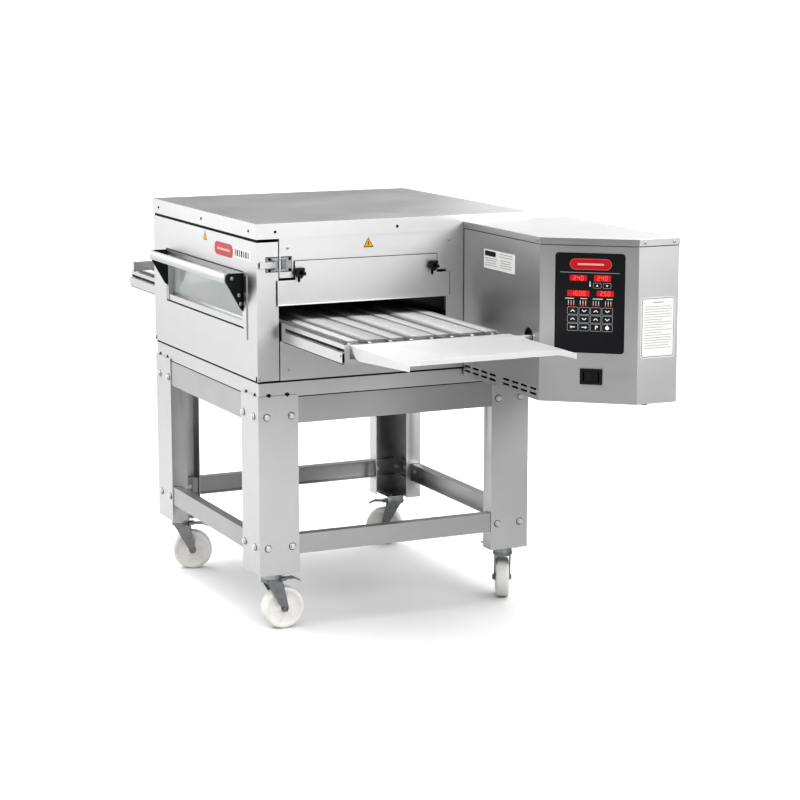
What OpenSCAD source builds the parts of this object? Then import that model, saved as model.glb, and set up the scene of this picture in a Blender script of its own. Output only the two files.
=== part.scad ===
// Conveyor pizza oven on a wheeled stand.
// +X is the way the belt travels, towards the exit tray and the control box.
// -Y is the front, with the big door. +Z is up, and Z = 0 is the floor.
// Parts are drawn from the oven's front exit corner, then moved to the middle of the footprint.

/* [Belt] */
// Width of the belt
belt_w = 500; // [440:10:520]
// Height of the belt's carrying face above the floor
belt_top = 972; // [960:1:980]
// Thickness of the belt
belt_t = 4; // [3:0.5:5]
// Radius of the belt's outside where it turns round a shaft
belt_turn_r = 28; // [26:0.5:30]
// Reach of the conveyor past the exit face
exit_reach = 484; // [470:1:500]
// Reach of the conveyor past the entry face
entry_reach = 467; // [440:1:500]

/* [Oven body] */
// Length of the casing along the belt
oven_len = 944; // [900:1:980]
// Depth of the casing, front to back
oven_depth = 924; // [900:1:950]
// Height of the top cover above the floor
oven_top = 1266; // [1260:1:1280]
// Height of the top cover's skirt
cover_skirt = 47; // [40:1:60]
// Dark gap between the cover and the front door
cover_gap = 9; // [6:1:12]
// Height of the base tray that the casing stands on
base_h = 51; // [45:1:55]
// Thickness of the casing sheet
sheet = 1.5; // [1:0.1:2]

/* [Tunnel] */
// Back edge of the belt mouth in the end panels
mouth_back = 629; // [620:1:640]
// Bottom of the belt mouth
mouth_bottom = 908; // [900:1:909]
// Top of the belt mouth
mouth_top = 1100; // [1096:1:1110]
// How far the front door wraps round the ends
door_wrap = 70; // [66:1:71]

/* [Hatch] */
// Left and right margins from the casing's ends to the hatch opening
hatch_margin_exit = 110; // [100:1:120]
// Margin at the entry end
hatch_margin_entry = 124; // [110:1:130]
// Sill of the hatch opening
hatch_bottom = 936; // [930:1:940]
// Head of the hatch opening
hatch_top = 1112; // [1108:1:1120]

/* [Stand] */
// Top of the rails that carry the oven
stand_top = 734; // [730:1:734]
// Height of an upper rail
upper_rail_h = 81; // [70:1:90]
// Bottom of the lower rails
lower_rail_z = 244; // [240:1:260]
// Height of a lower rail
lower_rail_h = 61; // [50:1:70]
// Leg face on the end side
leg_w_end = 131; // [120:1:140]
// Leg face on the front and back sides
leg_w_front = 144; // [130:1:150]
// Return lip of a leg
leg_lip = 55; // [45:1:60]
// Sheet of the stand
stand_sheet = 3; // [2:0.5:4]

/* [Casters] */
// Wheel diameter
wheel_d = 132; // [120:1:134]
// Wheel width
wheel_w = 42; // [32:1:44]
// Distance from the swivel axis back to the axle
trail = 38; // [34:1:42]
// Height from the floor to the bottom of the legs
leg_bottom = 184; // [180:1:186]

/* [Control box] */
// Front face of the control box
box_front = 691; // [690:1:700]
// Back face of the control box
box_back = 1048; // [1040:1:1060]
// End of the front face, where the slanted panel starts
box_fold_x = 496; // [490:1:500]
// Exit face of the control box
box_end_x = 681; // [670:1:690]
// Where the slanted panel meets the exit face
box_fold_y = 914; // [910:1:920]
// Bottom of the control box
box_bottom = 762; // [760:1:766]
// Top of its lid
box_top = 1245; // [1240:1:1250]
// Height of the lid's skirt
lid_skirt = 20; // [16:1:24]

/* [Exit tray] */
// Width of the exit tray
tray_w = 510; // [500:1:520]
// Reach of the exit tray past the exit face
tray_reach = 884; // [860:1:900]
// Height of the turned-up front lip
tray_lip = 14; // [10:1:16]

/* [Hidden] */
$fn = 48;

// Colours
steel = "#c9cbcc";
dull_steel = "#a9abad";
black = "#1b1b1d";
nylon = "#eceae4";
zinc = "#b5b6b4";

// Clearances
gap = 0.5;
fit = 0.05;

// Levels and edges
panel_bottom = stand_top + base_h + 4;
panel_top = oven_top - cover_skirt - cover_gap;
inner_top = oven_top - cover_skirt + 12;
tunnel_front = door_wrap + 4;
belt_front = tunnel_front + 3;
rail_back = belt_front + belt_w + 3;
shaft_z = belt_top - belt_turn_r;
drive_x = exit_reach - 38;
idler_x = -oven_len - entry_reach + 50;
rail_top = belt_top - 6;
rail_bottom = belt_top - 60;
handle_out = 60;
baffle_bottom = 1017;
knob_z = 1116;
knob_front = 135;
knob_back = 580;

// Middle of the footprint
x_mid = (tray_reach - oven_len - entry_reach) / 2;
y_mid = (box_back + 2 - handle_out) / 2;

module placed() { translate([-x_mid, -y_mid, 0]) children(); }

// A block between two opposite corners
module block(a, b) { translate(a) cube(b - a); }

// Rods along each axis, from a start point
module rod_x(p, length, r) { translate(p) rotate([0, 90, 0]) cylinder(h = length, r = r); }
module rod_y(p, length, r) { translate(p) rotate([-90, 0, 0]) cylinder(h = length, r = r); }
module rod_z(p, length, r) { translate(p) cylinder(h = length, r = r); }

// Copies a front exit corner feature to the chosen corner: ends and sides are 0 or 1
module corner(entry, rear) {
  translate([entry ? -oven_len : 0, rear ? oven_depth : 0, 0])
    mirror([entry ? 1 : 0, 0, 0]) mirror([0, rear ? 1 : 0, 0]) children();
}

module each_corner() {
  for (entry = [0, 1]) for (rear = [0, 1]) corner(entry, rear) children();
}

// Copies an exit end feature to the entry end
module entry_end() { translate([-oven_len, 0, 0]) mirror([1, 0, 0]) children(); }

// ---------------------------------------------------------------- stand
bolt_rows = [stand_top - 56, lower_rail_z + 26];
bolt_end = [28, 108];
bolt_front = [38, 124];
bolt_r = 5;

module bolt_holes(r) {
  for (z = bolt_rows) {
    for (y = bolt_end) rod_x([-20, y, z], 30, r);
    for (x = bolt_front) rod_y([-x, -10, z], 30, r);
  }
}

module leg() {
  t = stand_sheet;
  difference() {
    union() {
      linear_extrude_from(leg_bottom, stand_top + 8) {
        translate([-t, 0]) square([t, leg_w_end]);
        translate([-leg_w_front, 0]) square([leg_w_front, t]);
      }
      linear_extrude_from(leg_bottom, stand_top - 1) {
        translate([-leg_lip, leg_w_end - t]) square([leg_lip, t]);
        translate([-leg_w_front, 0]) square([t, leg_lip]);
      }
      block([-112, t, leg_bottom], [-t, 112, leg_bottom + t]);
    }
    bolt_holes(bolt_r + 0.5);
    for (z = [[stand_top - upper_rail_h, stand_top + 9], [lower_rail_z, lower_rail_z + lower_rail_h]]) {
      block([-38, leg_w_end - t - 1, z[0] - 1], [-t, leg_w_end + 1, z[1] + 1]);
      block([-leg_w_front - 1, t, z[0] - 1], [-leg_w_front + t + 1, 38, z[1] + 1]);
    }
    for (y = [36, 96]) rod_x([-5, y, stand_top + 8], 10, 4);
    for (x = [36, 108]) rod_y([-x, -5, stand_top + 8], 10, 4);
    for (x = [-88, -28]) for (y = [28, 88]) rod_z([x, y, leg_bottom - 1], t + 2, 4.5);
  }
}

module linear_extrude_from(z0, z1) { translate([0, 0, z0]) linear_extrude(z1 - z0) children(); }

module stand_legs() { color(steel) placed() each_corner() leg(); }

// A channel rail lying against the inside of a leg face, its open side inwards
module rail_end_side(z0, h) {
  t = stand_sheet;
  d = oven_depth;
  block([-2 * t, 8, z0], [-t, d - 8, z0 + h]);
  for (z = [z0, z0 + h - t]) block([-34, 42, z], [-2 * t, d - 42, z + t]);
}

module rail_front_side(z0, h) {
  t = stand_sheet;
  block([-oven_len + 8, t, z0], [-8, 2 * t, z0 + h]);
  for (z = [z0, z0 + h - t]) block([-oven_len + 42, 2 * t, z], [-42, 34, z + t]);
}

module stand_rails() {
  color(dull_steel) placed() difference() {
    for (r = [[stand_top - upper_rail_h, upper_rail_h], [lower_rail_z, lower_rail_h]]) {
      rail_end_side(r[0], r[1]);
      entry_end() rail_end_side(r[0], r[1]);
      rail_front_side(r[0], r[1]);
      translate([0, oven_depth, 0]) mirror([0, 1, 0]) rail_front_side(r[0], r[1]);
    }
    each_corner() bolt_holes(bolt_r + 0.5);
  }
}

// Bolt with a washer face, and its nut inside the rail
module bolt() {
  cylinder(h = 2, r = 11);
  translate([0, 0, 2]) cylinder(h = 6.5, r = 9.8, $fn = 6);
  translate([0, 0, -16]) cylinder(h = 17, r = bolt_r);
}

module nut() {
  translate([0, 0, -2 * stand_sheet - 8.2]) difference() {
    cylinder(h = 8, r = 9.8, $fn = 6);
    translate([0, 0, -1]) cylinder(h = 10, r = bolt_r + fit);
  }
}

// Low domed screw with a short shank
module screw(r = 4) {
  cylinder(h = 1.6, r = r);
  translate([0, 0, -5]) cylinder(h = 5.5, r = r * 0.5);
}

cover_screw_x = [for (i = [0:2]) -60 - i * (oven_len - 120) / 2];
cover_screw_y = [for (i = [0:2]) 60 + i * (oven_depth - 120) / 2];
cover_screw_z = oven_top - 26;
panel_screw_z = [panel_bottom + 30, 1190];
panel_screw_y = [100, 640];

module cover_screws() {
  for (x = cover_screw_x) {
    translate([x, -2, cover_screw_z]) rotate([90, 0, 0]) children();
    translate([x, oven_depth + 2, cover_screw_z]) rotate([-90, 0, 0]) children();
  }
  for (y = cover_screw_y) {
    if (y < box_front - 20) translate([2, y, cover_screw_z]) rotate([0, 90, 0]) children();
    translate([-oven_len - 2, y, cover_screw_z]) rotate([0, -90, 0]) children();
  }
}

module panel_screws() {
  for (z = panel_screw_z) for (y = panel_screw_y) {
    translate([0, y, z]) rotate([0, 90, 0]) children();
    translate([-oven_len, y, z]) rotate([0, -90, 0]) children();
  }
}

module baffle_studs(r) {
  for (y = [knob_front, knob_back]) {
    rod_x([-6, y, knob_z], 26, r);
    entry_end() rod_x([-6, y, knob_z], 26, r);
  }
}

module fasteners() {
  color(zinc) placed() {
    each_corner() for (z = bolt_rows) {
      for (y = bolt_end) translate([0, y, z]) rotate([0, 90, 0]) { bolt(); nut(); }
      for (x = bolt_front) translate([-x, 0, z]) rotate([90, 0, 0]) { bolt(); nut(); }
    }
    cover_screws() screw(3.5);
    panel_screws() screw(3.5);
    baffle_studs(3);
  }
}

// ---------------------------------------------------------------- casters
swivel_in = 58;
axle_z = wheel_d / 2;
plate_t = 4;
head_z = leg_bottom - plate_t;
fork_top = 152;
fork_gap = wheel_w + 4;

// Heading of each caster in degrees from +X: the side that its wheel trails to
heading = [["front_exit", 90], ["front_entry", 70], ["rear_exit", 155], ["rear_entry", 240]];

function heading_of(name) = [for (h = heading) if (h[0] == name) h[1]][0];

module at_caster(entry, rear, name) {
  placed() translate([entry ? swivel_in - oven_len : -swivel_in,
                      rear ? oven_depth - swivel_in : swivel_in, 0])
    rotate([0, 0, heading_of(name)]) children();
}

module caster_plates() {
  color(zinc) placed() each_corner() translate([-swivel_in, swivel_in, 0]) {
    difference() {
      block([-45, -45, head_z], [45, 45, leg_bottom]);
      for (x = [-30, 30]) for (y = [-30, 30]) rod_z([x, y, head_z - 1], 6, 4.5);
    }
    difference() {
      rod_z([0, 0, fork_top + 10], head_z - fork_top - 10, 30);
      rod_z([0, 0, fork_top + 9], head_z - fork_top, 6.2 + fit);
    }
    for (x = [-30, 30]) for (y = [-30, 30]) rod_z([x, y, head_z - 5], 16, 4);
  }
}

// One fork: crown, king pin, two cheeks and the axle bolt
module fork() {
  color(zinc) difference() {
    union() {
      rod_z([0, 0, fork_top], 9.6, 31);
      rod_z([0, 0, fork_top], 26, 6.2);
      for (side = [-1, 1]) translate([0, side * (fork_gap / 2 + 1.5), 0])
        rotate([90, 0, 0]) linear_extrude(3, center = true)
          polygon([[-22, fork_top + 1], [30, fork_top + 1], [trail + 11, axle_z + 2],
                   [trail + 7, axle_z - 11], [trail - 7, axle_z - 11], [trail - 13, axle_z + 4]]);
      block([-22, -fork_gap / 2 - 3, fork_top - 3], [30, fork_gap / 2 + 3, fork_top + 1]);
    }
    rod_y([trail, -40, axle_z], 80, 6 + fit);
  }
  color(steel) {
    rod_y([trail, -fork_gap / 2 - 4, axle_z], fork_gap + 8, 6);
    for (side = [0, 1]) mirror([0, side, 0])
      translate([trail, fork_gap / 2 + 3.1, axle_z]) rotate([-90, 0, 0]) difference() {
        cylinder(h = 5, r = 9, $fn = 6);
        translate([0, 0, -1]) cylinder(h = 7, r = 6 + fit);
      }
  }
}

module caster_wheel() {
  r = wheel_d / 2;
  w = wheel_w / 2;
  color(nylon) translate([trail, 0, axle_z]) rotate([90, 0, 0]) difference() {
    rotate_extrude() polygon([
      [0, -w], [15, -w], [19, -w + 5], [r - 18, -w + 7], [r - 12, -w + 1], [r - 4, -w], [r, -w + 4],
      [r, w - 4], [r - 4, w], [r - 12, w - 1], [r - 18, w - 7], [19, w - 5], [15, w], [0, w]]);
    cylinder(h = 60, r = 6 + 2 * fit, center = true);
  }
}

// Brake pedal: a bent plate hinged on the trailing side of the crown
brake_x = 40;
brake_z = fork_top + 4;

module brake_pedal() {
  color(dull_steel) difference() {
    union() {
      rod_y([brake_x, -14, brake_z], 28, 5);
      rotate([90, 0, 0]) linear_extrude(26, center = true)
        polygon([[brake_x, brake_z - 2], [brake_x + 33.5, brake_z - 2], [brake_x + 53, brake_z - 11],
                 [brake_x + 54.5, brake_z - 7.5], [brake_x + 34.5, brake_z + 2], [brake_x, brake_z + 2]]);
    }
    rod_y([brake_x, -20, brake_z], 40, 2.5 + fit);
  }
}

// Ears and pin that hold the pedal on the fork
module brake_ears() {
  color(zinc) {
    for (side = [-1, 1]) translate([0, side * 18, 0])
      block([28, -1.5, fork_top + 0.5], [brake_x + 5, 1.5, fork_top + 8.5]);
    rod_y([brake_x, -20, brake_z], 40, 2.5);
  }
}

module braked_fork() {
  fork();
  brake_ears();
}

module fork_front_exit() { at_caster(0, 0, "front_exit") braked_fork(); }
module fork_front_entry() { at_caster(1, 0, "front_entry") braked_fork(); }
module fork_rear_exit() { at_caster(0, 1, "rear_exit") braked_fork(); }
module fork_rear_entry() { at_caster(1, 1, "rear_entry") braked_fork(); }
module wheel_front_exit() { at_caster(0, 0, "front_exit") caster_wheel(); }
module wheel_front_entry() { at_caster(1, 0, "front_entry") caster_wheel(); }
module wheel_rear_exit() { at_caster(0, 1, "rear_exit") caster_wheel(); }
module wheel_rear_entry() { at_caster(1, 1, "rear_entry") caster_wheel(); }
module brake_front_exit() { at_caster(0, 0, "front_exit") brake_pedal(); }
module brake_front_entry() { at_caster(1, 0, "front_entry") brake_pedal(); }
module brake_rear_exit() { at_caster(0, 1, "rear_exit") brake_pedal(); }
module brake_rear_entry() { at_caster(1, 1, "rear_entry") brake_pedal(); }

// ---------------------------------------------------------------- casing
module base_tray() {
  inset = stand_sheet + 1;
  color(steel) placed() difference() {
    block([-oven_len + inset, inset, stand_top], [-inset, oven_depth - inset, stand_top + base_h]);
    block([-oven_len + inset + sheet, inset + sheet, stand_top + sheet],
          [-inset - sheet, oven_depth - inset - sheet, stand_top + base_h + 1]);
  }
}

module top_cover() {
  o = 2;
  color(steel) placed() difference() {
    block([-oven_len - o, -o, oven_top - cover_skirt], [o, oven_depth + o, oven_top]);
    block([-oven_len - o + sheet, -o + sheet, oven_top - cover_skirt - 1],
          [o - sheet, oven_depth + o - sheet, oven_top - sheet]);
    cover_screws() translate([0, 0, -8]) cylinder(h = 10, r = 1.9);
  }
}

module end_panel() {
  front = door_wrap + 3;
  back = oven_depth - 0.1;
  color(steel) difference() {
    union() {
      block([-sheet, front, panel_bottom - 1], [0, back, inner_top]);
      block([-14, front, panel_bottom - 1], [-sheet, front + sheet, inner_top]);
      block([-14, mouth_back, mouth_bottom - 1], [-sheet, mouth_back + sheet, mouth_top + 1]);
      block([-18, tunnel_front - 0.5, panel_bottom - 1], [-sheet, back - 20, panel_bottom + sheet - 1]);
    }
    block([-20, front - 1, mouth_bottom], [1, mouth_back, mouth_top]);
    for (z = panel_screw_z) for (y = panel_screw_y) rod_x([-10, y, z], 20, 1.9);
    for (y = [knob_front, knob_back]) rod_x([-20, y, knob_z], 30, 3 + fit);
  }
}

module exit_end_panel() { placed() end_panel(); }
module entry_end_panel() { placed() entry_end() end_panel(); }

module back_panel() {
  color(steel) placed() difference() {
    block([-oven_len + sheet + 0.1, oven_depth - sheet, panel_bottom - 1],
          [-sheet - 0.1, oven_depth, inner_top]);
    for (i = [0:11]) for (row = [0:2])
      block([-oven_len / 2 - 190 + i * 32, oven_depth - 5, 1090 + row * 26],
            [-oven_len / 2 - 168 + i * 32, oven_depth + 5, 1096 + row * 26]);
  }
}

liner_x = 22;
liner_floor = 850;
liner_roof = 1140;
shroud_y = 646;
liner_back = 770;
fan_x = -oven_len / 2;
fan_z = 1000;

// Hot box round the belt, with a shroud that parts it from the fan space behind
module chamber_liner() {
  x0 = -oven_len + liner_x;
  x1 = -liner_x;
  y0 = tunnel_front + 2;
  color(dull_steel) placed() difference() {
    union() {
      block([x0, y0, liner_floor - sheet], [x1, liner_back, liner_floor]);
      block([x0, y0, liner_roof], [x1, liner_back, liner_roof + sheet]);
      block([x0, liner_back - sheet, liner_floor], [x1, liner_back, liner_roof]);
      block([x0 + sheet, shroud_y, liner_floor], [x1 - sheet, shroud_y + sheet, liner_roof]);
      block([x0, y0, liner_floor], [x0 + sheet, liner_back, liner_roof]);
      block([x1 - sheet, y0, liner_floor], [x1, liner_back, liner_roof]);
    }
    block([x0 - 1, y0 - 1, mouth_bottom], [x1 + 1, mouth_back, mouth_top]);
    rod_y([fan_x, shroud_y - 5, fan_z], 20, 85);
    for (i = [0:duct_count - 1]) for (z = [[1068, 1114], [860, 894]])
      if (abs(duct_x(i) + duct_w / 2 - fan_x) > 50)
        block([duct_x(i) + 8, shroud_y - 1, z[0]], [duct_x(i) + duct_w - 8, shroud_y + 3, z[1]]);
    rod_y([fan_x, liner_back - 10, fan_z], 20, 12);
  }
}

module insulation() {
  x0 = -oven_len + liner_x + 1;
  x1 = -liner_x - 1;
  color("#d8d2bf") placed() {
    block([x0, tunnel_front + 3, liner_roof + sheet], [x1, liner_back, panel_top + 4]);
    block([x0, tunnel_front + 3, panel_bottom + 3], [x1, liner_back, liner_floor - sheet]);
    difference() {
      block([x0, liner_back, panel_bottom + 3], [x1, liner_back + 50, panel_top + 4]);
      rod_y([fan_x, liner_back - 5, fan_z], 70, 14);
    }
  }
}

duct_count = 5;
duct_w = 110;
duct_pitch = (oven_len - 2 * liner_x - 60) / duct_count;

function duct_x(i) = -liner_x - 30 - duct_pitch * (i + 0.5) - duct_w / 2;

// A jet finger: a closed duct with rows of air holes in the face towards the belt
module jet_duct(z0, z1, hole_z) {
  y0 = tunnel_front + 14;
  difference() {
    block([0, y0, z0], [duct_w, shroud_y, z1]);
    block([sheet, y0 + sheet, z0 + sheet], [duct_w - sheet, shroud_y + 1, z1 - sheet]);
    for (row = [0:1]) for (k = [0:11])
      rod_z([32 + row * 46, y0 + 30 + k * 42, hole_z - 4], 8, 6);
  }
}

module air_ducts() {
  color(dull_steel) placed() for (i = [0:duct_count - 1]) translate([duct_x(i), 0, 0]) {
    jet_duct(1064, 1118, 1064);
    jet_duct(856, 898, 898);
  }
}

module heaters() {
  color("#7d6f63") placed() for (r = [132, 118]) translate([fan_x, 0, fan_z]) rotate([-90, 0, 0]) {
    translate([0, 0, shroud_y + 40]) rotate_extrude() translate([r, 0]) circle(r = 4);
    translate([0, 0, shroud_y + 60]) rotate_extrude() translate([r, 0]) circle(r = 4);
  }
}

fan_r = 100;

module fan_wheel() {
  color(dull_steel) placed() translate([fan_x, shroud_y + 18, fan_z]) rotate([-90, 0, 0]) {
    difference() {
      union() {
        translate([0, 0, 58]) cylinder(h = 3, r = fan_r);
        translate([0, 0, 40]) cylinder(h = 22, r = 16);
        for (i = [0:17]) rotate([0, 0, i * 20]) translate([fan_r - 24, -1, 6]) cube([23, 2, 53]);
        difference() {
          cylinder(h = 6.5, r = fan_r);
          translate([0, 0, -1]) cylinder(h = 9, r = fan_r - 24);
        }
      }
      translate([0, 0, 30]) cylinder(h = 40, r = 8 + fit);
    }
  }
}

module fan_motor() {
  color(black) placed() translate([fan_x, 0, fan_z]) rotate([-90, 0, 0]) {
    translate([0, 0, shroud_y + 62]) cylinder(h = 770 - shroud_y, r = 8);
    translate([0, 0, liner_back + 50.2]) cylinder(h = 8, r = 60);
    translate([0, 0, liner_back + 58]) cylinder(h = 82, r = 48);
  }
}

// ---------------------------------------------------------------- front door
door_x0 = -oven_len;
hatch_x0 = -oven_len + hatch_margin_entry;
hatch_x1 = -hatch_margin_exit;
reveal = 32;

module front_door() {
  z0 = panel_bottom;
  z1 = panel_top;
  t = sheet;
  color(steel) placed() difference() {
    union() {
      block([door_x0, 0, z0], [0, t, z1]);
      block([door_x0, t, z0], [door_x0 + t, door_wrap, z1]);
      block([-t, t, z0], [0, door_wrap, z1]);
      block([door_x0 + 20, t, z0], [-20, 26, z0 + t]);
      block([door_x0 + t, t, z1 - t], [-t, 26, z1]);
      block([hatch_x0 - t, t, hatch_bottom - t], [hatch_x1 + t, reveal, hatch_top + t]);
      block([hatch_x1 + 6, -3, hatch_bottom - 30], [hatch_x1 + 29, 0, hatch_top - 10]);
    }
    block([hatch_x0, -1, hatch_bottom], [hatch_x1, reveal + 1, hatch_top]);
    for (x = [door_x0 - 1, -t - 1]) rod_x([x, hinge_y, hinge_z], t + 2, 3 + fit);
    rod_x([hatch_x0 - 3, hatch_axis_y, hatch_axis_z], hatch_x1 - hatch_x0 + 6, hatch_pin_r + fit);
    for (x = [door_x0 + 4, -16]) block([x, -1, z0 - 1], [x + 12, t + 1, hinge_z + 7]);
  }
}

hinge_y = 7;
hinge_z = panel_bottom + 7;

// Inner pan of the door with the window reveal
module door_liner() {
  y0 = reveal + 0.2;
  y1 = door_wrap - 3;
  x0 = door_x0 + 28;
  x1 = -28;
  z0 = liner_floor + 2;
  z1 = liner_roof - 2;
  color(dull_steel) placed() difference() {
    block([x0, y0, z0], [x1, y1, z1]);
    block([x0 + sheet, y0 - 1, z0 + sheet], [hatch_x0 - sheet, y1 - sheet, z1 - sheet]);
    block([hatch_x1 + sheet, y0 - 1, z0 + sheet], [x1 - sheet, y1 - sheet, z1 - sheet]);
    block([hatch_x0 - 5, y0 - 1, z0 + sheet], [hatch_x1 + 5, y1 - sheet, hatch_bottom - sheet]);
    block([hatch_x0, y0 - 1, hatch_bottom], [hatch_x1, y1 + 1, hatch_top]);
  }
}

// Fixed lugs on the base tray, and the pins that the door turns on
module door_hinges() {
  color(zinc) placed() for (entry = [0, 1]) corner(entry, 0) {
    rod_x([-14, hinge_y, hinge_z], 15, 3);
    rod_x([-15, hinge_y, hinge_z], 2.8, 4.4);
    difference() {
      union() {
        block([-12, 6, stand_top + base_h - 30], [-8, 16, hinge_z + 6]);
        block([-12, 2, stand_top + base_h + 0.5], [-8, 16, hinge_z + 6]);
      }
      rod_x([-20, hinge_y, hinge_z], 20, 3 + fit);
    }
  }
}

// ---------------------------------------------------------------- hatch
hatch_clear = 1.5;
hatch_axis_y = 7;
hatch_axis_z = hatch_bottom + 10;
side_bar = 12;
hatch_pin_r = 3;

module hatch_frame() {
  x0 = hatch_x0 + hatch_clear;
  x1 = hatch_x1 - hatch_clear;
  z0 = hatch_bottom + 4;
  z1 = hatch_top - 4;
  color(black) placed() {
    for (x = [x0 - 3, x1 - 1]) rod_x([x, hatch_axis_y, hatch_axis_z], 4, hatch_pin_r);
    difference() {
      block([x0, 1, z0], [x1, 30, z1]);
      block([x0 + side_bar, 0, z0 + 19], [x1 - side_bar, 31, z1 - 14]);
      block([x0 + side_bar - 5, 21.8, z0 + 14], [x1 - side_bar + 5, 28.2, z1 - 9]);
      block([x0 + side_bar, 0, z0 - 1], [x1 - side_bar, 4, z0 + 20]);
    }
  }
}

module hatch_glass() {
  x0 = hatch_x0 + hatch_clear + side_bar - 4;
  x1 = hatch_x1 - hatch_clear - side_bar + 4;
  color([0.75, 0.82, 0.82, 0.4]) placed()
    block([x0, 22, hatch_bottom + 19], [x1, 28, hatch_top - 14]);
}

// Flat bar between two plates that stand out from the hatch's ends
module hatch_handle() {
  z1 = hatch_top - 5;
  x0 = hatch_x0 + hatch_clear;
  x1 = hatch_x1 - hatch_clear;
  color(black) placed() for (x = [x0 + 2, x1 - 6]) translate([x, 0, 0])
    rotate([90, 0, 90]) linear_extrude(4)
      polygon([[1, z1], [-handle_out + 4, z1], [-handle_out + 2, z1 - 30], [1, z1 - 118]]);
  color(steel) placed()
    block([x0 + 6.2, -handle_out, z1 - 30], [x1 - 6.2, -handle_out + 12, z1]);
}

// ---------------------------------------------------------------- latches
latch_z = 1142;
latch_pivot_x = 8;
latch_pivot_y = 58;
bail_y = latch_pivot_y - 10;
bail_half = 17;

module latch_base() {
  difference() {
    union() {
      block([0, 31, latch_z - 21], [2, 67, latch_z + 21]);
      for (z = [latch_z - 12.5, latch_z + 9.5])
        block([2, latch_pivot_y - 6, z], [latch_pivot_x + 4, latch_pivot_y + 6, z + 3]);
    }
    rod_z([latch_pivot_x, latch_pivot_y, latch_z - 20], 40, 2 + fit);
  }
  rod_z([latch_pivot_x, latch_pivot_y, latch_z - 13], 26, 2);
  for (z = [latch_z - 16.5, latch_z + 16.5]) rod_x([2, 40, z], 2, 3.5);
}

module latch_bases() {
  color(zinc) placed() { latch_base(); entry_end() latch_base(); }
}

module latch_keeper() {
  block([0, 80, latch_z - 21], [2, 112, latch_z + 21]);
  block([2, 84, latch_z - 12], [5.6, 87, latch_z + 12]);
  for (z = [latch_z - 16.5, latch_z + 16.5]) rod_x([2, 106, z], 2, 3.5);
}

module latch_keepers() {
  color(zinc) placed() { latch_keeper(); entry_end() latch_keeper(); }
}

module latch_lever() {
  color(steel) difference() {
    union() {
      block([latch_pivot_x - 1.5, 8, latch_z - 9], [latch_pivot_x + 1.5, latch_pivot_y, latch_z + 9]);
      rod_z([latch_pivot_x, latch_pivot_y, latch_z - 9], 18, 4);
      rod_z([latch_pivot_x, bail_y, latch_z - 9], 18, 3);
    }
    rod_z([latch_pivot_x, latch_pivot_y, latch_z - 20], 40, 2 + fit);
    rod_z([latch_pivot_x, bail_y, latch_z - 30], 60, 1.5 + fit);
  }
}

// Wire loop from the lever to behind the keeper
module latch_bail() {
  wire = 1.5;
  color(zinc) {
    rod_z([latch_pivot_x, bail_y, latch_z - bail_half - wire], 2 * bail_half + 2 * wire, wire);
    for (z = [latch_z - bail_half, latch_z + bail_half]) rod_y([latch_pivot_x, bail_y, z], 42, wire);
    rod_z([latch_pivot_x, bail_y + 42, latch_z - bail_half - wire], 2 * bail_half + 2 * wire, wire);
  }
}

module latch_lever_exit() { placed() latch_lever(); }
module latch_lever_entry() { placed() entry_end() latch_lever(); }
module latch_bail_exit() { placed() latch_bail(); }
module latch_bail_entry() { placed() entry_end() latch_bail(); }

// ---------------------------------------------------------------- baffles
baffle_step = 1093;
baffle_up = 26;
baffle_down = 8;

module baffle() {
  color(steel) translate([2.6, 0, 0]) difference() {
    union() {
      block([0, 65, baffle_bottom], [sheet, mouth_back + 11, baffle_step]);
      block([0, 122, baffle_step - 1], [sheet, 596, baffle_step + 57]);
      block([0, 65, baffle_bottom], [9, mouth_back + 11, baffle_bottom + sheet]);
    }
    for (y = [knob_front, knob_back]) {
      block([-1, y - 4, knob_z - baffle_up - 1], [3, y + 4, knob_z + baffle_down + 1]);
      for (z = [knob_z - baffle_up - 1, knob_z + baffle_down + 1]) rod_x([-1, y, z], 4, 4);
    }
  }
}

module exit_baffle() { placed() baffle(); }
module entry_baffle() { placed() entry_end() baffle(); }

// Star knob on a stud, clamping the baffle
module knob(y) {
  color(black) translate([4.5, y, knob_z]) rotate([0, 90, 0]) difference() {
    union() {
      cylinder(h = 6, r = 9);
      translate([0, 0, 5]) cylinder(h = 13, r = 14);
      for (i = [0:4]) rotate([0, 0, i * 72]) translate([12, 0, 5]) cylinder(h = 13, r = 5.5);
    }
    translate([0, 0, -1]) cylinder(h = 17, r = 3 + fit);
  }
}

module knob_exit_front() { placed() knob(knob_front); }
module knob_exit_back() { placed() knob(knob_back); }
module knob_entry_front() { placed() entry_end() knob(knob_front); }
module knob_entry_back() { placed() entry_end() knob(knob_back); }

// ---------------------------------------------------------------- conveyor
shaft_r = 8;
fascia_front = 66;
rail_x0 = -oven_len - entry_reach;

module side_rail(y0, inward) {
  ya = inward > 0 ? y0 : y0 - 14;
  yw = inward > 0 ? y0 - sheet : y0;
  block([rail_x0, ya, rail_bottom], [exit_reach, ya + 14, rail_bottom + sheet]);
  block([idler_x, ya, rail_top - sheet], [drive_x, ya + 14, rail_top]);
  block([rail_x0, yw, rail_bottom], [exit_reach, yw + sheet, rail_top]);
}

// Cover strip outside the front rail, clear of the oven
module fascia() {
  z0 = rail_bottom + 2;
  for (x = [[42, exit_reach], [rail_x0, -oven_len - 42]]) {
    block([x[0], fascia_front, z0], [x[1], fascia_front + sheet, z0 + 30]);
    block([x[0], fascia_front, z0], [x[1], tunnel_front, z0 + sheet]);
    block([x[0], fascia_front, z0 + 30 - sheet], [x[1], tunnel_front - 2, z0 + 30]);
  }
}

module adjuster_holes() {
  for (x = [exit_reach - 8, rail_x0 + 8]) rod_y([x, 50, shaft_z - 10], 40, 4);
}

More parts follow.
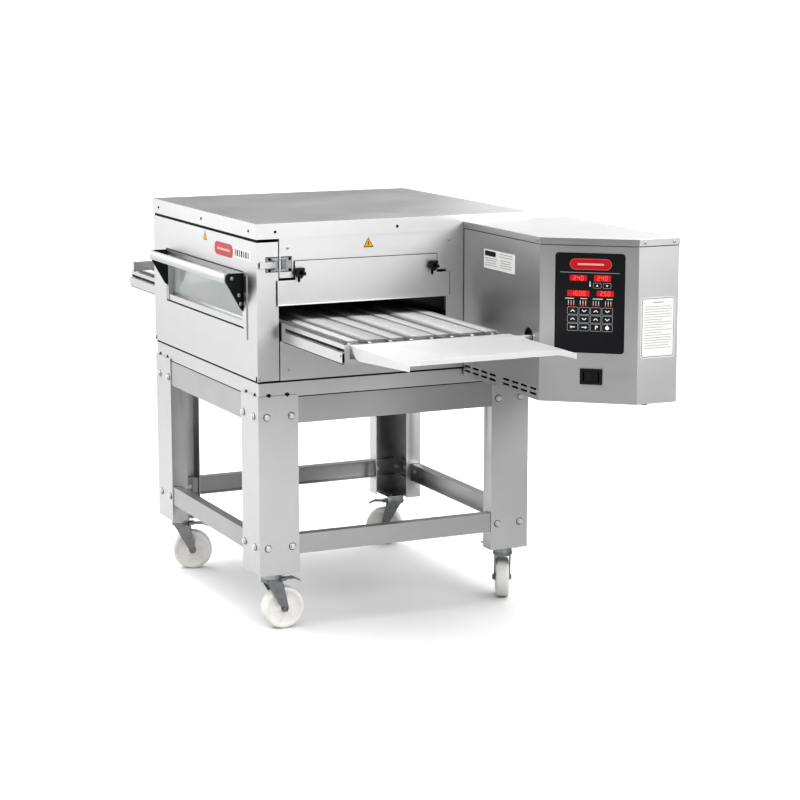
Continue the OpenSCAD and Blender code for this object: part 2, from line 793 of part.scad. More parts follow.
module shaft_holes() {
  rod_y([drive_x, 50, shaft_z], 560, shaft_r + fit);
  rod_y([idler_x, 50, shaft_z], 560, shaft_r + fit);
}

module conveyor_frame() {
  y0 = tunnel_front + sheet;
  color(steel) placed() {
    difference() {
      union() {
        side_rail(y0, 1);
        side_rail(rail_back, -1);
      }
      shaft_holes();
    }
    difference() {
      fascia();
      adjuster_holes();
    }
    translate([0, tunnel_front + rail_back + sheet, 0]) mirror([0, 1, 0]) difference() {
      fascia();
      translate([drive_x - 11, fascia_front - 1, shaft_z - 11]) cube([22, 20, 22]);
      adjuster_holes();
    }
    for (x = [exit_reach - sheet, rail_x0]) for (y = [tunnel_front + sheet, rail_back - 14])
      block([x, y, rail_bottom + sheet], [x + sheet, y + 14, rail_top]);
    for (i = [0:10]) translate([idler_x + 90 + i * (drive_x - idler_x - 180) / 10, 0, 0])
      rod_y([0, y0, shaft_z + 12], rail_back - y0, 6);
    block([exit_reach - 14, y0 - 1, rail_bottom], [exit_reach, rail_back + 1, rail_bottom + 12]);
    for (y = hook_y) {
      block([exit_reach - 1, y - 3, tray_z - 44], [tray_x0 + 6, y + 33, tray_z - 40]);
      block([tray_x0 + 4, y - 3, tray_z - 44], [tray_x0 + 6, y + 33, tray_z - 20]);
    }
    entry_guard();
  }
}

// Upright plate across the loading end
module entry_guard() {
  x = rail_x0;
  y1 = rail_back + sheet;
  block([x, tunnel_front, rail_top], [x + 17.5, y1, rail_top + sheet]);
  block([x + 17.5, tunnel_front, rail_top], [x + 19, y1, belt_top + 26]);
  block([x + 9, tunnel_front, belt_top + 24.5], [x + 17.5, y1, belt_top + 26]);
}

module belt_outline(r) {
  for (x = [drive_x, idler_x]) translate([x, shaft_z]) circle(r = r);
  translate([idler_x, shaft_z - r]) square([drive_x - idler_x, 2 * r]);
}

module belt() {
  color(steel) placed() translate([0, belt_front + belt_w, 0]) rotate([90, 0, 0])
    linear_extrude(belt_w) difference() {
      belt_outline(belt_turn_r);
      belt_outline(belt_turn_r - belt_t);
    }
}

sprocket_count = 8;

module belt_sprockets(x) {
  for (i = [0:sprocket_count - 1])
    rod_y([x, belt_front + 16 + i * (belt_w - 42) / (sprocket_count - 1), shaft_z], 10,
          belt_turn_r - belt_t - 0.8);
}

chain_y = box_front + 34;
sprocket_r = 30;

module drive_shaft() {
  color(zinc) placed() {
    rod_y([drive_x, tunnel_front - 0.5, shaft_z], chain_y + 14 - tunnel_front, shaft_r);
    belt_sprockets(drive_x);
    rod_y([drive_x, chain_y - 4, shaft_z], 8, sprocket_r);
  }
}

module idler_shaft() {
  color(zinc) placed() {
    rod_y([idler_x, tunnel_front - 0.5, shaft_z], rail_back + sheet + 1 - tunnel_front, shaft_r);
    belt_sprockets(idler_x);
  }
}

// ---------------------------------------------------------------- exit tray
tray_x0 = exit_reach + 1.5;
tray_front = 88;
tray_z = belt_top - 8;
hook_y = [tray_front + 60, tray_front + tray_w - 90];

module exit_tray() {
  t = sheet;
  y1 = tray_front + tray_w;
  skirt = [[tray_x0 + 12, tray_z + 1], [tray_x0 + 26, tray_z - 16], [tray_x0 + 40, tray_z - 28],
           [tray_x0 + 56, tray_z - 34], [tray_x0 + 76, tray_z - 35], [tray_reach, tray_z - 15],
           [tray_reach, tray_z + 1]];
  color(steel) placed() {
    block([tray_x0, tray_front, tray_z], [tray_reach, y1, tray_z + t]);
    for (y = [tray_front + t, y1]) translate([0, y, 0]) rotate([90, 0, 0])
      linear_extrude(t) polygon(skirt);
    translate([tray_reach - t, 0, 0]) rotate([90, 0, 90]) linear_extrude(t)
      polygon([[tray_front + 30, tray_z], [tray_front + 34, tray_z + 10],
               [tray_front + 40, tray_z + tray_lip], [y1 - 46, tray_z + tray_lip],
               [y1, tray_z], [y1, tray_z - 15], [y1 - 40, tray_z - 4], [y1 - 60, tray_z]]);
    for (y = hook_y) block([tray_x0, y, tray_z - 38], [tray_x0 + 3, y + 30, tray_z]);
  }
}

// ---------------------------------------------------------------- control box
box_x0 = 3;

module box_outline(inset) {
  k = inset * tan((180 - 129.7) / 2);
  m = inset * tan((180 - 140.3) / 2);
  polygon([[box_x0 + inset, box_front + inset], [box_fold_x - k, box_front + inset],
           [box_end_x - inset, box_fold_y + m], [box_end_x - inset, box_back - inset],
           [box_x0 + inset, box_back - inset]]);
}

facet_angle = atan2(box_fold_y - box_front, box_end_x - box_fold_x);

// Moves a drawing onto the slanted panel: X runs along it from its front fold, Y is up
module on_panel(out = 0) {
  translate([box_fold_x, box_front, 0]) rotate([0, 0, facet_angle]) rotate([90, 0, 0])
    translate([0, 0, out]) children();
}

switch_s = 155;
switch_z = 840;
switch_w = 50;
switch_h = 32;
vent_x = [for (i = [0:7]) 30 + i * 57 + (i > 3 ? 32 : 0)];
notch_x = 430;
notch_w = 52;

module control_housing() {
  color(steel) placed() difference() {
    linear_extrude_from(box_bottom, box_top - 3) box_outline(0);
    linear_extrude_from(box_bottom + sheet, box_top) box_outline(sheet);
    for (x = vent_x) for (z = [778, 793])
      block([x - 19, box_front - 1, z - 3], [x + 19, box_front + 3, z + 3]);
    for (row = [0:2]) for (i = [0:13])
      block([150 + i * 30, box_back - 3, 800 + row * 20], [170 + i * 30, box_back + 1, 806 + row * 20]);
    rod_y([notch_x, box_front - 1, belt_top - 2 - notch_w / 2], 4, notch_w / 2);
    block([notch_x - notch_w / 2, box_front - 1, 900],
          [notch_x + notch_w / 2, box_front + 3, belt_top - 2 - notch_w / 2]);
    on_panel(-3) translate([switch_s - switch_w / 2, switch_z - switch_h / 2, 0])
      cube([switch_w, switch_h, 5]);
    rod_z([gland_x, gland_y, box_bottom - 1], 4, 10 + fit);
  }
}

module control_lid() {
  color(steel) placed() difference() {
    linear_extrude_from(box_top - lid_skirt, box_top) offset_box(2);
    linear_extrude_from(box_top - lid_skirt - 1, box_top - sheet) offset_box(0.4);
  }
}

// The box's plan, grown outwards on every side but the oven's
module offset_box(out) {
  k = out * tan((180 - 129.7) / 2);
  m = out * tan((180 - 140.3) / 2);
  x0 = box_x0 - (out > 1 ? 0.3 : 2);
  polygon([[x0, box_front - out], [box_fold_x + k, box_front - out], [box_end_x + out, box_fold_y - m],
           [box_end_x + out, box_back + out], [x0, box_back + out]]);
}

film_s = 45;
film_w = 205;
film_z = 910;
film_h = 292;
film_r = 10;

module keypad_film() {
  color(black) placed() on_panel(0.05) linear_extrude(0.8) {
    translate([film_s + film_r, film_z]) square([film_w - 2 * film_r, film_h]);
    translate([film_s, film_z + film_r]) square([film_w, film_h - 2 * film_r]);
    for (s = [film_s + film_r, film_s + film_w - film_r])
      for (z = [film_z + film_r, film_z + film_h - film_r]) translate([s, z]) circle(r = film_r);
  }
}

module switch_bezel() {
  color(black) placed() {
    on_panel(0.05) difference() {
      translate([switch_s - 33, switch_z - 23, 0]) cube([66, 46, 3]);
      translate([switch_s - switch_w / 2 + 1.4, switch_z - switch_h / 2 + 1.4, -1])
        cube([switch_w - 2.8, switch_h - 2.8, 6]);
    }
    on_panel(-24) difference() {
      translate([switch_s - switch_w / 2 + 0.4, switch_z - switch_h / 2 + 0.4, 0])
        cube([switch_w - 0.8, switch_h - 0.8, 24.05]);
      translate([switch_s - switch_w / 2 + 1.4, switch_z - switch_h / 2 + 1.4, 3])
        cube([switch_w - 2.8, switch_h - 2.8, 30]);
      translate([switch_s, switch_z, 16]) rotate([90, 0, 0])
        cylinder(h = 60, r = 2 + fit, center = true);
    }
  }
}

// Two-way rocker: its face is a shallow vee, so that one end always stands proud
module power_switch() {
  half = switch_w / 2 - 5;
  color("#2a2a2c") placed() on_panel(-24) translate([switch_s, switch_z + switch_h / 2 - 2.2, 16])
    rotate([90, 0, 0]) linear_extrude(switch_h - 4.4)
      polygon([[-half, 5], [-half, 12], [0, 8.5], [half, 8.5], [half, 3], [4, -4], [-4, -4]]);
  color("#2a2a2c") placed() on_panel(-24) translate([switch_s, switch_z, 16]) rotate([90, 0, 0])
    cylinder(h = switch_h - 1.2, r = 2, center = true);
}

motor_z = 846;
gland_x = 580;
gland_y = 1000;

module gear_motor() {
  color("#3d4145") placed() {
    rod_y([drive_x, chain_y + 24, motor_z], 50, 42);
    rod_y([drive_x, chain_y + 74, motor_z], 120, 34);
    rod_y([drive_x, chain_y - 10, motor_z], 36, 7);
    block([drive_x - 50, chain_y + 26, box_bottom + sheet], [drive_x + 50, chain_y + 70, motor_z - 30]);
  }
}

module motor_sprocket() {
  color(zinc) placed() difference() {
    union() {
      rod_y([drive_x, chain_y - 4, motor_z], 8, sprocket_r);
      rod_y([drive_x, chain_y - 8, motor_z], 16, 14);
    }
    rod_y([drive_x, chain_y - 20, motor_z], 40, 7 + fit);
  }
}

// Chain loop round two equal sprockets
module chain_outline(r) {
  for (z = [0, shaft_z - motor_z]) translate([0, z]) circle(r = r);
  translate([-r, 0]) square([2 * r, shaft_z - motor_z]);
}

module drive_chain() {
  color("#6d6f70") placed() translate([drive_x, chain_y + 3, motor_z]) rotate([90, 0, 0])
    linear_extrude(6) difference() {
      chain_outline(sprocket_r + 5.6);
      chain_outline(sprocket_r + 0.6);
    }
}

module control_board() {
  y1 = box_back - sheet - 12;
  color("#2f6a45") placed() block([110, y1 - 2, 900], [330, y1, 1140]);
  color("#d8d8d4") placed() {
    block([130, y1 - 40, 930], [190, y1 - 2, 1000]);
    block([220, y1 - 55, 920], [300, y1 - 2, 990]);
    block([130, y1 - 30, 1050], [300, y1 - 2, 1080]);
    for (x = [120, 320]) for (z = [910, 1130]) rod_y([x, y1, z], 12, 4);
  }
}

module supply_gland() {
  color(black) placed() difference() {
    union() {
      rod_z([gland_x, gland_y, box_bottom - 22], 36, 10);
      rod_z([gland_x, gland_y, box_bottom - 8], 8, 14);
      rod_z([gland_x, gland_y, box_bottom + sheet], 5, 14);
    }
    rod_z([gland_x, gland_y, box_bottom - 30], 60, 6);
  }
}

stand_legs();
stand_rails();
fasteners();
caster_plates();
fork_front_exit();
fork_front_entry();
fork_rear_exit();
fork_rear_entry();
wheel_front_exit();
wheel_front_entry();
wheel_rear_exit();
wheel_rear_entry();
brake_front_exit();
brake_front_entry();
brake_rear_exit();
brake_rear_entry();
base_tray();
top_cover();
exit_end_panel();
entry_end_panel();
back_panel();
chamber_liner();
insulation();
air_ducts();
heaters();
fan_wheel();
fan_motor();
front_door();
door_liner();
door_hinges();
hatch_frame();
hatch_glass();
hatch_handle();
latch_bases();
latch_keepers();
latch_lever_exit();
latch_lever_entry();
latch_bail_exit();
latch_bail_entry();
exit_baffle();
entry_baffle();
knob_exit_front();
knob_exit_back();
knob_entry_front();
knob_entry_back();
conveyor_frame();
belt();
drive_shaft();
idler_shaft();
exit_tray();
control_housing();
control_lid();
keypad_film();
power_switch();
switch_bezel();
gear_motor();
motor_sprocket();
drive_chain();
control_board();
supply_gland();
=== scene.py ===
import math
import random

import bmesh
import bpy
from mathutils import Matrix, Vector


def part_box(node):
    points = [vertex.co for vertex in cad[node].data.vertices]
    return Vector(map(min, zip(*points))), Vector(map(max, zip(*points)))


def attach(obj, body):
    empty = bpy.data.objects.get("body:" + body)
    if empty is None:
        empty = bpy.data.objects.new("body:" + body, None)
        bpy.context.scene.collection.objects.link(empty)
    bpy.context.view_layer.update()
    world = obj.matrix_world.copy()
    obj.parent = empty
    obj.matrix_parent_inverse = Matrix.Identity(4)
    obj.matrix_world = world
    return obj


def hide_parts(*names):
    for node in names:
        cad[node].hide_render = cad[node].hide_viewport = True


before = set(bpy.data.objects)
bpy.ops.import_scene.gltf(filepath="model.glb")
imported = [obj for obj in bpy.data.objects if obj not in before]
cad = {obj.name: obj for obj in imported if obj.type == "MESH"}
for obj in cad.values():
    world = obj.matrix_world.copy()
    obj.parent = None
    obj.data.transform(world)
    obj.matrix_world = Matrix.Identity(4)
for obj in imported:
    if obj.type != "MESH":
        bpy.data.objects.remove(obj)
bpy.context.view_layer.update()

random.seed(7)

ROOT = "stand_and_casing"
CASING_LONG, CASING_DEEP = 944, 924
COVER_PROUD, COVER_SCREW_Z = 2, 1240
BOX_FRONT, BOX_END, BOX_SEAM_Z = 691, 681, 1223.6
KNOB_Y, KNOB_Z = {"front": 135, "back": 580}, 1116
BROKEN_EDGE = 0.55
# Turns that point a screw's head, or anything drawn along Z, out of each side of the oven
OUT_EXIT, OUT_ENTRY = (0, math.pi / 2, 0), (0, -math.pi / 2, 0)
OUT_FRONT, OUT_BACK = (math.pi / 2, 0, 0), (-math.pi / 2, 0, 0)

corner = Vector((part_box("exit_end_panel")[1].x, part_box("back_panel")[1].y - CASING_DEEP / 1000, 0))


def mm(x, y, z):
    return corner + Vector((x, y, z)) / 1000


# ------------------------------------------------------------------ node and colour helpers
def linear(code):
    """An sRGB hex colour as linear red, green, blue and alpha."""
    parts = [int(code[i:i + 2], 16) / 255 for i in (1, 3, 5)]
    return tuple(c / 12.92 if c <= 0.04045 else ((c + 0.055) / 1.055) ** 2.4 for c in parts) + (1.0,)


def add(tree, kind, inputs=None, **settings):
    """Adds a node: settings are its own, and each input is a value or an output to link."""
    made = tree.nodes.new(kind)
    for name, value in settings.items():
        setattr(made, name, value)
    for name, value in (inputs or {}).items():
        if isinstance(value, bpy.types.NodeSocket):
            tree.links.new(value, made.inputs[name])
        else:
            made.inputs[name].default_value = value
    return made


def start(name):
    """A new material with an empty node tree and its coordinates."""
    material = bpy.data.materials.new(name)
    material.use_nodes = True
    tree = material.node_tree
    tree.nodes.clear()
    place = add(tree, "ShaderNodeTexCoord")
    return material, tree, place


def end(tree, shader):
    add(tree, "ShaderNodeOutputMaterial", {"Surface": shader.outputs[0]})


def cloud(tree, place, scale, detail=3.0, stretch=(1, 1, 1)):
    """Soft noise over the surface; scale is in patches per metre."""
    turned = add(tree, "ShaderNodeMapping", {"Vector": place.outputs["Object"], "Scale": stretch})
    return add(tree, "ShaderNodeTexNoise", {"Vector": turned.outputs[0], "Scale": scale, "Detail": detail})


def between(tree, factor, low, high):
    """Turns a 0 to 1 value into one from low to high."""
    return add(tree, "ShaderNodeMapRange", {"Value": factor, "To Min": low, "To Max": high}).outputs[0]


def blended(tree, factor, first, second):
    """Goes from the first hex colour to the second as the factor goes from 0 to 1."""
    mix = add(tree, "ShaderNodeMix", data_type="RGBA")
    mix.inputs[6].default_value = linear(first)
    mix.inputs[7].default_value = linear(second)
    tree.links.new(factor, mix.inputs[0])
    return mix.outputs[2]


def level_or_upright(tree, place, on_upright, on_level):
    """Picks one value on upright faces and the other on level ones."""
    parts = add(tree, "ShaderNodeSeparateXYZ", {0: place.outputs["Normal"]})
    size = add(tree, "ShaderNodeMath", {0: parts.outputs["Z"]}, operation="ABSOLUTE")
    mix = add(tree, "ShaderNodeMix", {0: size.outputs[0]}, data_type="FLOAT")
    tree.links.new(on_upright, mix.inputs[2])
    tree.links.new(on_level, mix.inputs[3])
    return mix.outputs[0]


# ------------------------------------------------------------------ finishes
WAVE_DEPTH, GRAIN_DEPTH, GRAIN_SHARE = 0.0006, 0.00002, 0.5


def rolled_stainless(name, clean, worn, rough):
    """Brushed sheet: level grain that spreads light across itself, faint waves, and soft wiping marks."""
    material, tree, place = start(name)
    upright = cloud(tree, place, 1.0, 2.0, (4, 4, 330))
    level = cloud(tree, place, 1.0, 2.0, (4, 330, 4))
    lines = level_or_upright(tree, place, upright.outputs[0], level.outputs[0])
    wiped = cloud(tree, place, 5.0, 4.0)
    wave = cloud(tree, place, 2.6, 0.0)
    colour = blended(tree, wiped.outputs[0], clean, worn)
    uneven = add(tree, "ShaderNodeMath", {0: lines, 1: GRAIN_SHARE}, operation="MULTIPLY")
    both = add(tree, "ShaderNodeMath", {0: uneven.outputs[0], 1: wiped.outputs[0]}, operation="ADD")
    roughness = between(tree, both.outputs[0], rough - 0.07, rough + 0.07)
    dents = add(tree, "ShaderNodeBump", {"Strength": 1.0, "Distance": WAVE_DEPTH, "Height": wave.outputs[0]})
    fine = add(tree, "ShaderNodeBump", {"Strength": 0.1, "Distance": GRAIN_DEPTH, "Height": lines,
                                       "Normal": dents.outputs[0]})
    # The Tangent socket holds no value of its own, so the grain's fixed direction is linked to it
    across = add(tree, "ShaderNodeCombineXYZ", {1: 0.02, 2: 1.0})
    end(tree, add(tree, "ShaderNodeBsdfPrincipled", {
        "Base Color": colour, "Metallic": 1.0, "Roughness": roughness, "Normal": fine.outputs[0],
        "Anisotropic": 0.7, "Tangent": across.outputs[0]}))
    return material


def plated(name, bright, dull, rough, scale=60.0):
    """Plated pressings: bright, with small cloudy patches from the bath."""
    material, tree, place = start(name)
    patches = cloud(tree, place, scale, 4.0)
    end(tree, add(tree, "ShaderNodeBsdfPrincipled", {
        "Base Color": blended(tree, patches.outputs[0], bright, dull), "Metallic": 1.0,
        "Roughness": between(tree, patches.outputs[0], rough - 0.06, rough + 0.08)}))
    return material


def moulded(name, first, second, rough, grit=900.0, depth=0.00006, sheen=0.0, coat=0.0):
    """Moulded or coated surface with a fine even texture."""
    material, tree, place = start(name)
    texture = cloud(tree, place, grit, 2.0)
    patches = cloud(tree, place, 9.0, 3.0)
    bump = add(tree, "ShaderNodeBump", {"Strength": 0.4, "Distance": depth, "Height": texture.outputs[0]})
    end(tree, add(tree, "ShaderNodeBsdfPrincipled", {
        "Base Color": blended(tree, patches.outputs[0], first, second),
        "Roughness": between(tree, patches.outputs[0], rough - 0.05, rough + 0.06),
        "IOR": 1.5, "Sheen Weight": sheen, "Coat Weight": coat, "Coat Roughness": 0.1,
        "Normal": bump.outputs[0]}))
    return material


def lit(name, colour, strength):
    """Light-emitting segments behind a film."""
    material, tree, place = start(name)
    glow = cloud(tree, place, 300.0, 1.0)
    end(tree, add(tree, "ShaderNodeBsdfPrincipled", {
        "Base Color": blended(tree, glow.outputs[0], colour, colour), "Roughness": 0.4,
        "Emission Color": linear(colour), "Emission Strength": strength}))
    return material


# Stainless steel sheet, grade 304, brushed: pale, with level grain and soft wiping marks
stainless = rolled_stainless("stainless_304_brushed", "#d8d8d8", "#cfcfd0", 0.33)
# The landing tray: the same sheet, scuffed to a satin by pans
satin_stainless = rolled_stainless("stainless_304_satin_scuffed", "#dcdcdc", "#d2d2d3", 0.45)
# The same sheet inside the oven, dulled and faintly straw-coloured by heat
heated_stainless = rolled_stainless("stainless_304_heat_dulled", "#a8a49c", "#8f8a80", 0.42)
# The control box: the same sheet, a shade paler
housing_stainless = rolled_stainless("stainless_304_brushed_box", "#dadada", "#d2d2d3", 0.34)
# Stand rails: mill finish, greyer than the casing
mill_stainless = rolled_stainless("stainless_304_mill_finish", "#c4c4c4", "#b4b4b5", 0.36)
# Drawn stainless wire of the belt: bright, rounded, a little soiled
drawn_wire = plated("stainless_wire_drawn", "#a9a9a9", "#949494", 0.46, 90.0)
# Zinc-plated steel of casters, pins and screws: cool bright grey with cloudy patches
zinc = plated("zinc_plated_steel", "#c9cbcb", "#a2a5a6", 0.30)
# Fresh zinc on the stand's bolts: nearly white
zinc_bright = plated("zinc_plated_bolts", "#f4f5f6", "#dcdee0", 0.40)
# Zinc on the caster forks: duller, blue-grey
zinc_dull = plated("zinc_plated_forks", "#aeafb0", "#86888a", 0.34)
# Blackened cover screws; the same dark finish paints the shade rings under the stand's bolts
dark_screw = plated("steel_screws_blackened", "#3c3d3f", "#232425", 0.38)
# Nylon 6, moulded: off-white, soft gloss, slightly scuffed
nylon = moulded("nylon_6_moulded", "#fbfaf7", "#eeece8", 0.42)
# Black powder coat: satin with a very fine orange peel
powder = moulded("powder_coat_black", "#17181a", "#202124", 0.42, 500.0, 0.00012)
# ABS, moulded black: fine spark-eroded texture
abs_black = moulded("abs_moulded_black", "#141416", "#1d1d20", 0.48, 1200.0, 0.00008)
# Polyester overlay film: black ink under a satin face
film = moulded("polyester_film_black", "#202023", "#26262a", 0.34, 2500.0, 0.00002)
# White and grey inks printed on the film and the labels
ink_white = moulded("ink_white_printed", "#f4f4f3", "#ececea", 0.4)
ink_pale = moulded("ink_pale_grey_printed", "#b2b4b6", "#a6a8aa", 0.45)
ink_grey = moulded("ink_grey_printed", "#b2b4b6", "#a6a8aa", 0.4)
# Acrylic windows of the displays, lit red from behind
window_red = lit("acrylic_red_lit", "#b8232a", 0.25)
# Lit red segments
led_red = lit("led_segments_red", "#ff5a4a", 0.9)
# Vinyl labels: white, red with rose trim, yellow, and black print
vinyl_white = moulded("vinyl_label_white", "#f2f2f0", "#e8e8e6", 0.38)
vinyl_red = moulded("vinyl_label_red", "#c72f38", "#b62932", 0.32, coat=0.3)
vinyl_pale = moulded("vinyl_label_pale_rose", "#efb3b0", "#e6a8a5", 0.35)
vinyl_rose = moulded("vinyl_label_rose", "#e0605c", "#d65551", 0.35)
vinyl_yellow = moulded("vinyl_label_yellow", "#f0b91c", "#dfa812", 0.4)
vinyl_black = moulded("vinyl_print_black", "#1b1b1c", "#242425", 0.42)
# Rock wool slab: loose yellow-brown fibre
rock_wool = moulded("rock_wool_slab", "#b9a679", "#94835a", 0.95, 260.0, 0.0016, 0.3)
# Heater sheath: nickel alloy browned by heat
heater_skin = plated("heater_sheath_heat_browned", "#7c6a58", "#4b4038", 0.5)
# Motor paint: grey machine enamel
enamel = moulded("machine_enamel_grey", "#4a4f54", "#3e4348", 0.36, 300.0, 0.0001, coat=0.2)
# Roller chain: dark oiled steel
chain_steel = plated("roller_chain_oiled", "#6e6c68", "#3f3d3a", 0.34, 200.0)
# Circuit board: green lacquer over epoxy glass
board = moulded("epoxy_board_green", "#1f5a37", "#184a2d", 0.3, coat=0.5)
# Matt black for painted shade: the strips, pads, discs and lines in the dark gaps and along edges
shade_black = moulded("painted_shade_black", "#121212", "#1a1a1a", 0.7)


def oven_glass():
    """Tempered glass with a light grey cast and a film of old grease that scatters a little light."""
    material, tree, place = start("glass_tempered_oven")
    haze = cloud(tree, place, 14.0, 4.0)
    end(tree, add(tree, "ShaderNodeBsdfPrincipled", {
        "Base Color": blended(tree, haze.outputs[0], "#f2f5f5", "#e2e7e6"),
        "Roughness": between(tree, haze.outputs[0], 0.02, 0.14), "IOR": 1.5,
        "Transmission Weight": 0.55}))
    return material


glass = oven_glass()


# ------------------------------------------------------------------ mesh helpers
def block(bm, low, high, matrix=Matrix.Identity(4)):
    """A box between two opposite corners."""
    low, high = Vector(low), Vector(high)
    middle = Matrix.Translation((low + high) / 2) @ Matrix.Diagonal((*(high - low), 1))
    bmesh.ops.create_cube(bm, size=1, matrix=matrix @ middle)


def rod(bm, first, second, radius, sides=24):
    """A round bar between two points."""
    first, second = Vector(first), Vector(second)
    way = second - first
    turn = way.to_track_quat("Z", "Y").to_matrix().to_4x4()
    bmesh.ops.create_cone(bm, cap_ends=True, segments=sides, radius1=radius, radius2=radius, depth=way.length,
                          matrix=Matrix.Translation((first + second) / 2) @ turn)


def prism(bm, outline, low, high, matrix=Matrix.Identity(4)):
    """An outline in X and Y, carried from one height to another."""
    ends = [[bm.verts.new(matrix @ Vector((x, y, z))) for x, y in outline] for z in (low, high)]
    bm.faces.new(ends[0][::-1])
    bm.faces.new(ends[1])
    count = len(outline)
    for i in range(count):
        j = (i + 1) % count
        bm.faces.new((ends[0][i], ends[0][j], ends[1][j], ends[1][i]))


def lathe(bm, profile, matrix, steps=64):
    """Turns a closed profile of (radius, height) pairs round Z."""
    rings = []
    for k in range(steps):
        a = 2 * math.pi * k / steps
        rings.append([bm.verts.new(matrix @ Vector((r * math.cos(a), r * math.sin(a), h)))
                      for r, h in profile])
    count = len(profile)
    for k in range(steps):
        near, far = rings[k], rings[(k + 1) % steps]
        for i in range(count):
            j = (i + 1) % count
            bm.faces.new((near[i], far[i], far[j], near[j]))


def tube(bm, path, radius, sides=6):
    """A round wire through a list of points."""
    path = [Vector(p) for p in path]
    rings = []
    side = None
    for i, p in enumerate(path):
        way = (path[min(i + 1, len(path) - 1)] - path[max(i - 1, 0)]).normalized()
        if side is None:
            side = way.orthogonal().normalized()
        side = (side - way * side.dot(way)).normalized()
        other = way.cross(side)
        rings.append([bm.verts.new(p + (side * math.cos(a) + other * math.sin(a)) * radius)
                      for a in (2 * math.pi * k / sides for k in range(sides))])
    for near, far in zip(rings, rings[1:]):
        for k in range(sides):
            n = (k + 1) % sides
            bm.faces.new((near[k], near[n], far[n], far[k]))
    bm.faces.new(rings[0][::-1])
    bm.faces.new(rings[-1])


def rounded_outline(width, height, radius, steps):
    """A rectangle round the origin with rounded corners, as points in turn."""
    points = []
    side, top = width / 2 - radius, height / 2 - radius
    for cx, cy, first in ((side, top, 0), (-side, top, 90), (-side, -top, 180), (side, -top, 270)):
        for k in range(steps + 1):
            a = math.radians(first + 90 * k / steps)
            points.append((cx + radius * math.cos(a), cy + radius * math.sin(a)))
    return points


def dressed(name, mesh, material, body, replaces=(), sharp=35):
    """Names a finished mesh, gives it its finish, and lets it ride on a body."""
    mesh.name = name
    for polygon in mesh.polygons:
        polygon.use_smooth = True
    mesh.set_sharp_from_angle(angle=math.radians(sharp))
    mesh.materials.clear()
    mesh.materials.append(material)
    made = bpy.data.objects.new(name, mesh)
    bpy.context.scene.collection.objects.link(made)
    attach(made, body)
    if replaces:
        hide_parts(*replaces)
    return made


def finished(name, bm, material, body, replaces=(), edge=0.0, sharp=35):
    """Closes a drawing in millimetres: rounds its edges, moves it to its place and dresses it."""
    if edge:
        bm.edges.ensure_lookup_table()
        edges = [e for e in bm.edges if len(e.link_faces) == 2 and e.calc_face_angle(0) > math.radians(30)]
        bmesh.ops.bevel(bm, geom=edges, offset=edge, segments=2, profile=0.5, affect="EDGES",
                        clamp_overlap=True)
    bmesh.ops.recalc_face_normals(bm, faces=bm.faces)
    bm.transform(Matrix.Translation(corner) @ Matrix.Scale(0.001, 4))
    mesh = bpy.data.meshes.new(name)
    bm.to_mesh(mesh)
    bm.free()
    return dressed(name, mesh, material, body, replaces, sharp)


def repeat_tree():
    """Geometry Nodes: puts one small part on every point, turned as the point says."""
    tree = bpy.data.node_groups.new("repeated_part", "GeometryNodeTree")
    for label, kind in (("Geometry", "Geometry"), ("Part", "Object"), ("Size", "Float"), ("Finish", "Material")):
        tree.interface.new_socket(label, in_out="INPUT", socket_type="NodeSocket" + kind)
    tree.interface.new_socket("Geometry", in_out="OUTPUT", socket_type="NodeSocketGeometry")
    given = add(tree, "NodeGroupInput")
    turn = add(tree, "GeometryNodeInputNamedAttribute", {"Name": "turn"}, data_type="FLOAT_VECTOR")
    angle = add(tree, "FunctionNodeEulerToRotation", {0: turn.outputs[0]})
    part = add(tree, "GeometryNodeObjectInfo", {"Object": given.outputs["Part"]})
    placed = add(tree, "GeometryNodeInstanceOnPoints", {
        "Points": given.outputs["Geometry"], "Instance": part.outputs["Geometry"],
        "Rotation": angle.outputs[0], "Scale": given.outputs["Size"]})
    real = add(tree, "GeometryNodeRealizeInstances", {"Geometry": placed.outputs[0]})
    coated = add(tree, "GeometryNodeSetMaterial", {
        "Geometry": real.outputs[0], "Material": given.outputs["Finish"]})
    add(tree, "NodeGroupOutput", {0: coated.outputs[0]})
    return tree


repeated = repeat_tree()


def repeat(name, bm, places, material, body, replaces=(), sharp=35):
    """One small part, drawn in millimetres round its own middle, at every (point, turn) given."""
    bmesh.ops.recalc_face_normals(bm, faces=bm.faces)
    bm.transform(Matrix.Scale(0.001, 4))
    part_mesh = bpy.data.meshes.new(name + "_one")
    bm.to_mesh(part_mesh)
    bm.free()
    part = bpy.data.objects.new(name + "_one", part_mesh)
    points = bpy.data.meshes.new(name + "_places")
    points.from_pydata([mm(*p) for p, _ in places], [], [])
    points.attributes.new("turn", "FLOAT_VECTOR", "POINT").data.foreach_set(
        "vector", [value for _, turn in places for value in turn])
    host = bpy.data.objects.new(name + "_host", points)
    bpy.context.scene.collection.objects.link(host)
    rule = host.modifiers.new("repeated_part", "NODES")
    rule.node_group = repeated
    given = {s.name: s.identifier for s in repeated.interface.items_tree if s.in_out == "INPUT"}
    rule[given["Part"]] = part
    rule[given["Size"]] = 1.0
    rule[given["Finish"]] = material
    seen = host.evaluated_get(bpy.context.evaluated_depsgraph_get())
    mesh = bpy.data.meshes.new_from_object(seen)
    bpy.data.objects.remove(host)
    bpy.data.objects.remove(part)
    return dressed(name, mesh, material, body, replaces, sharp)


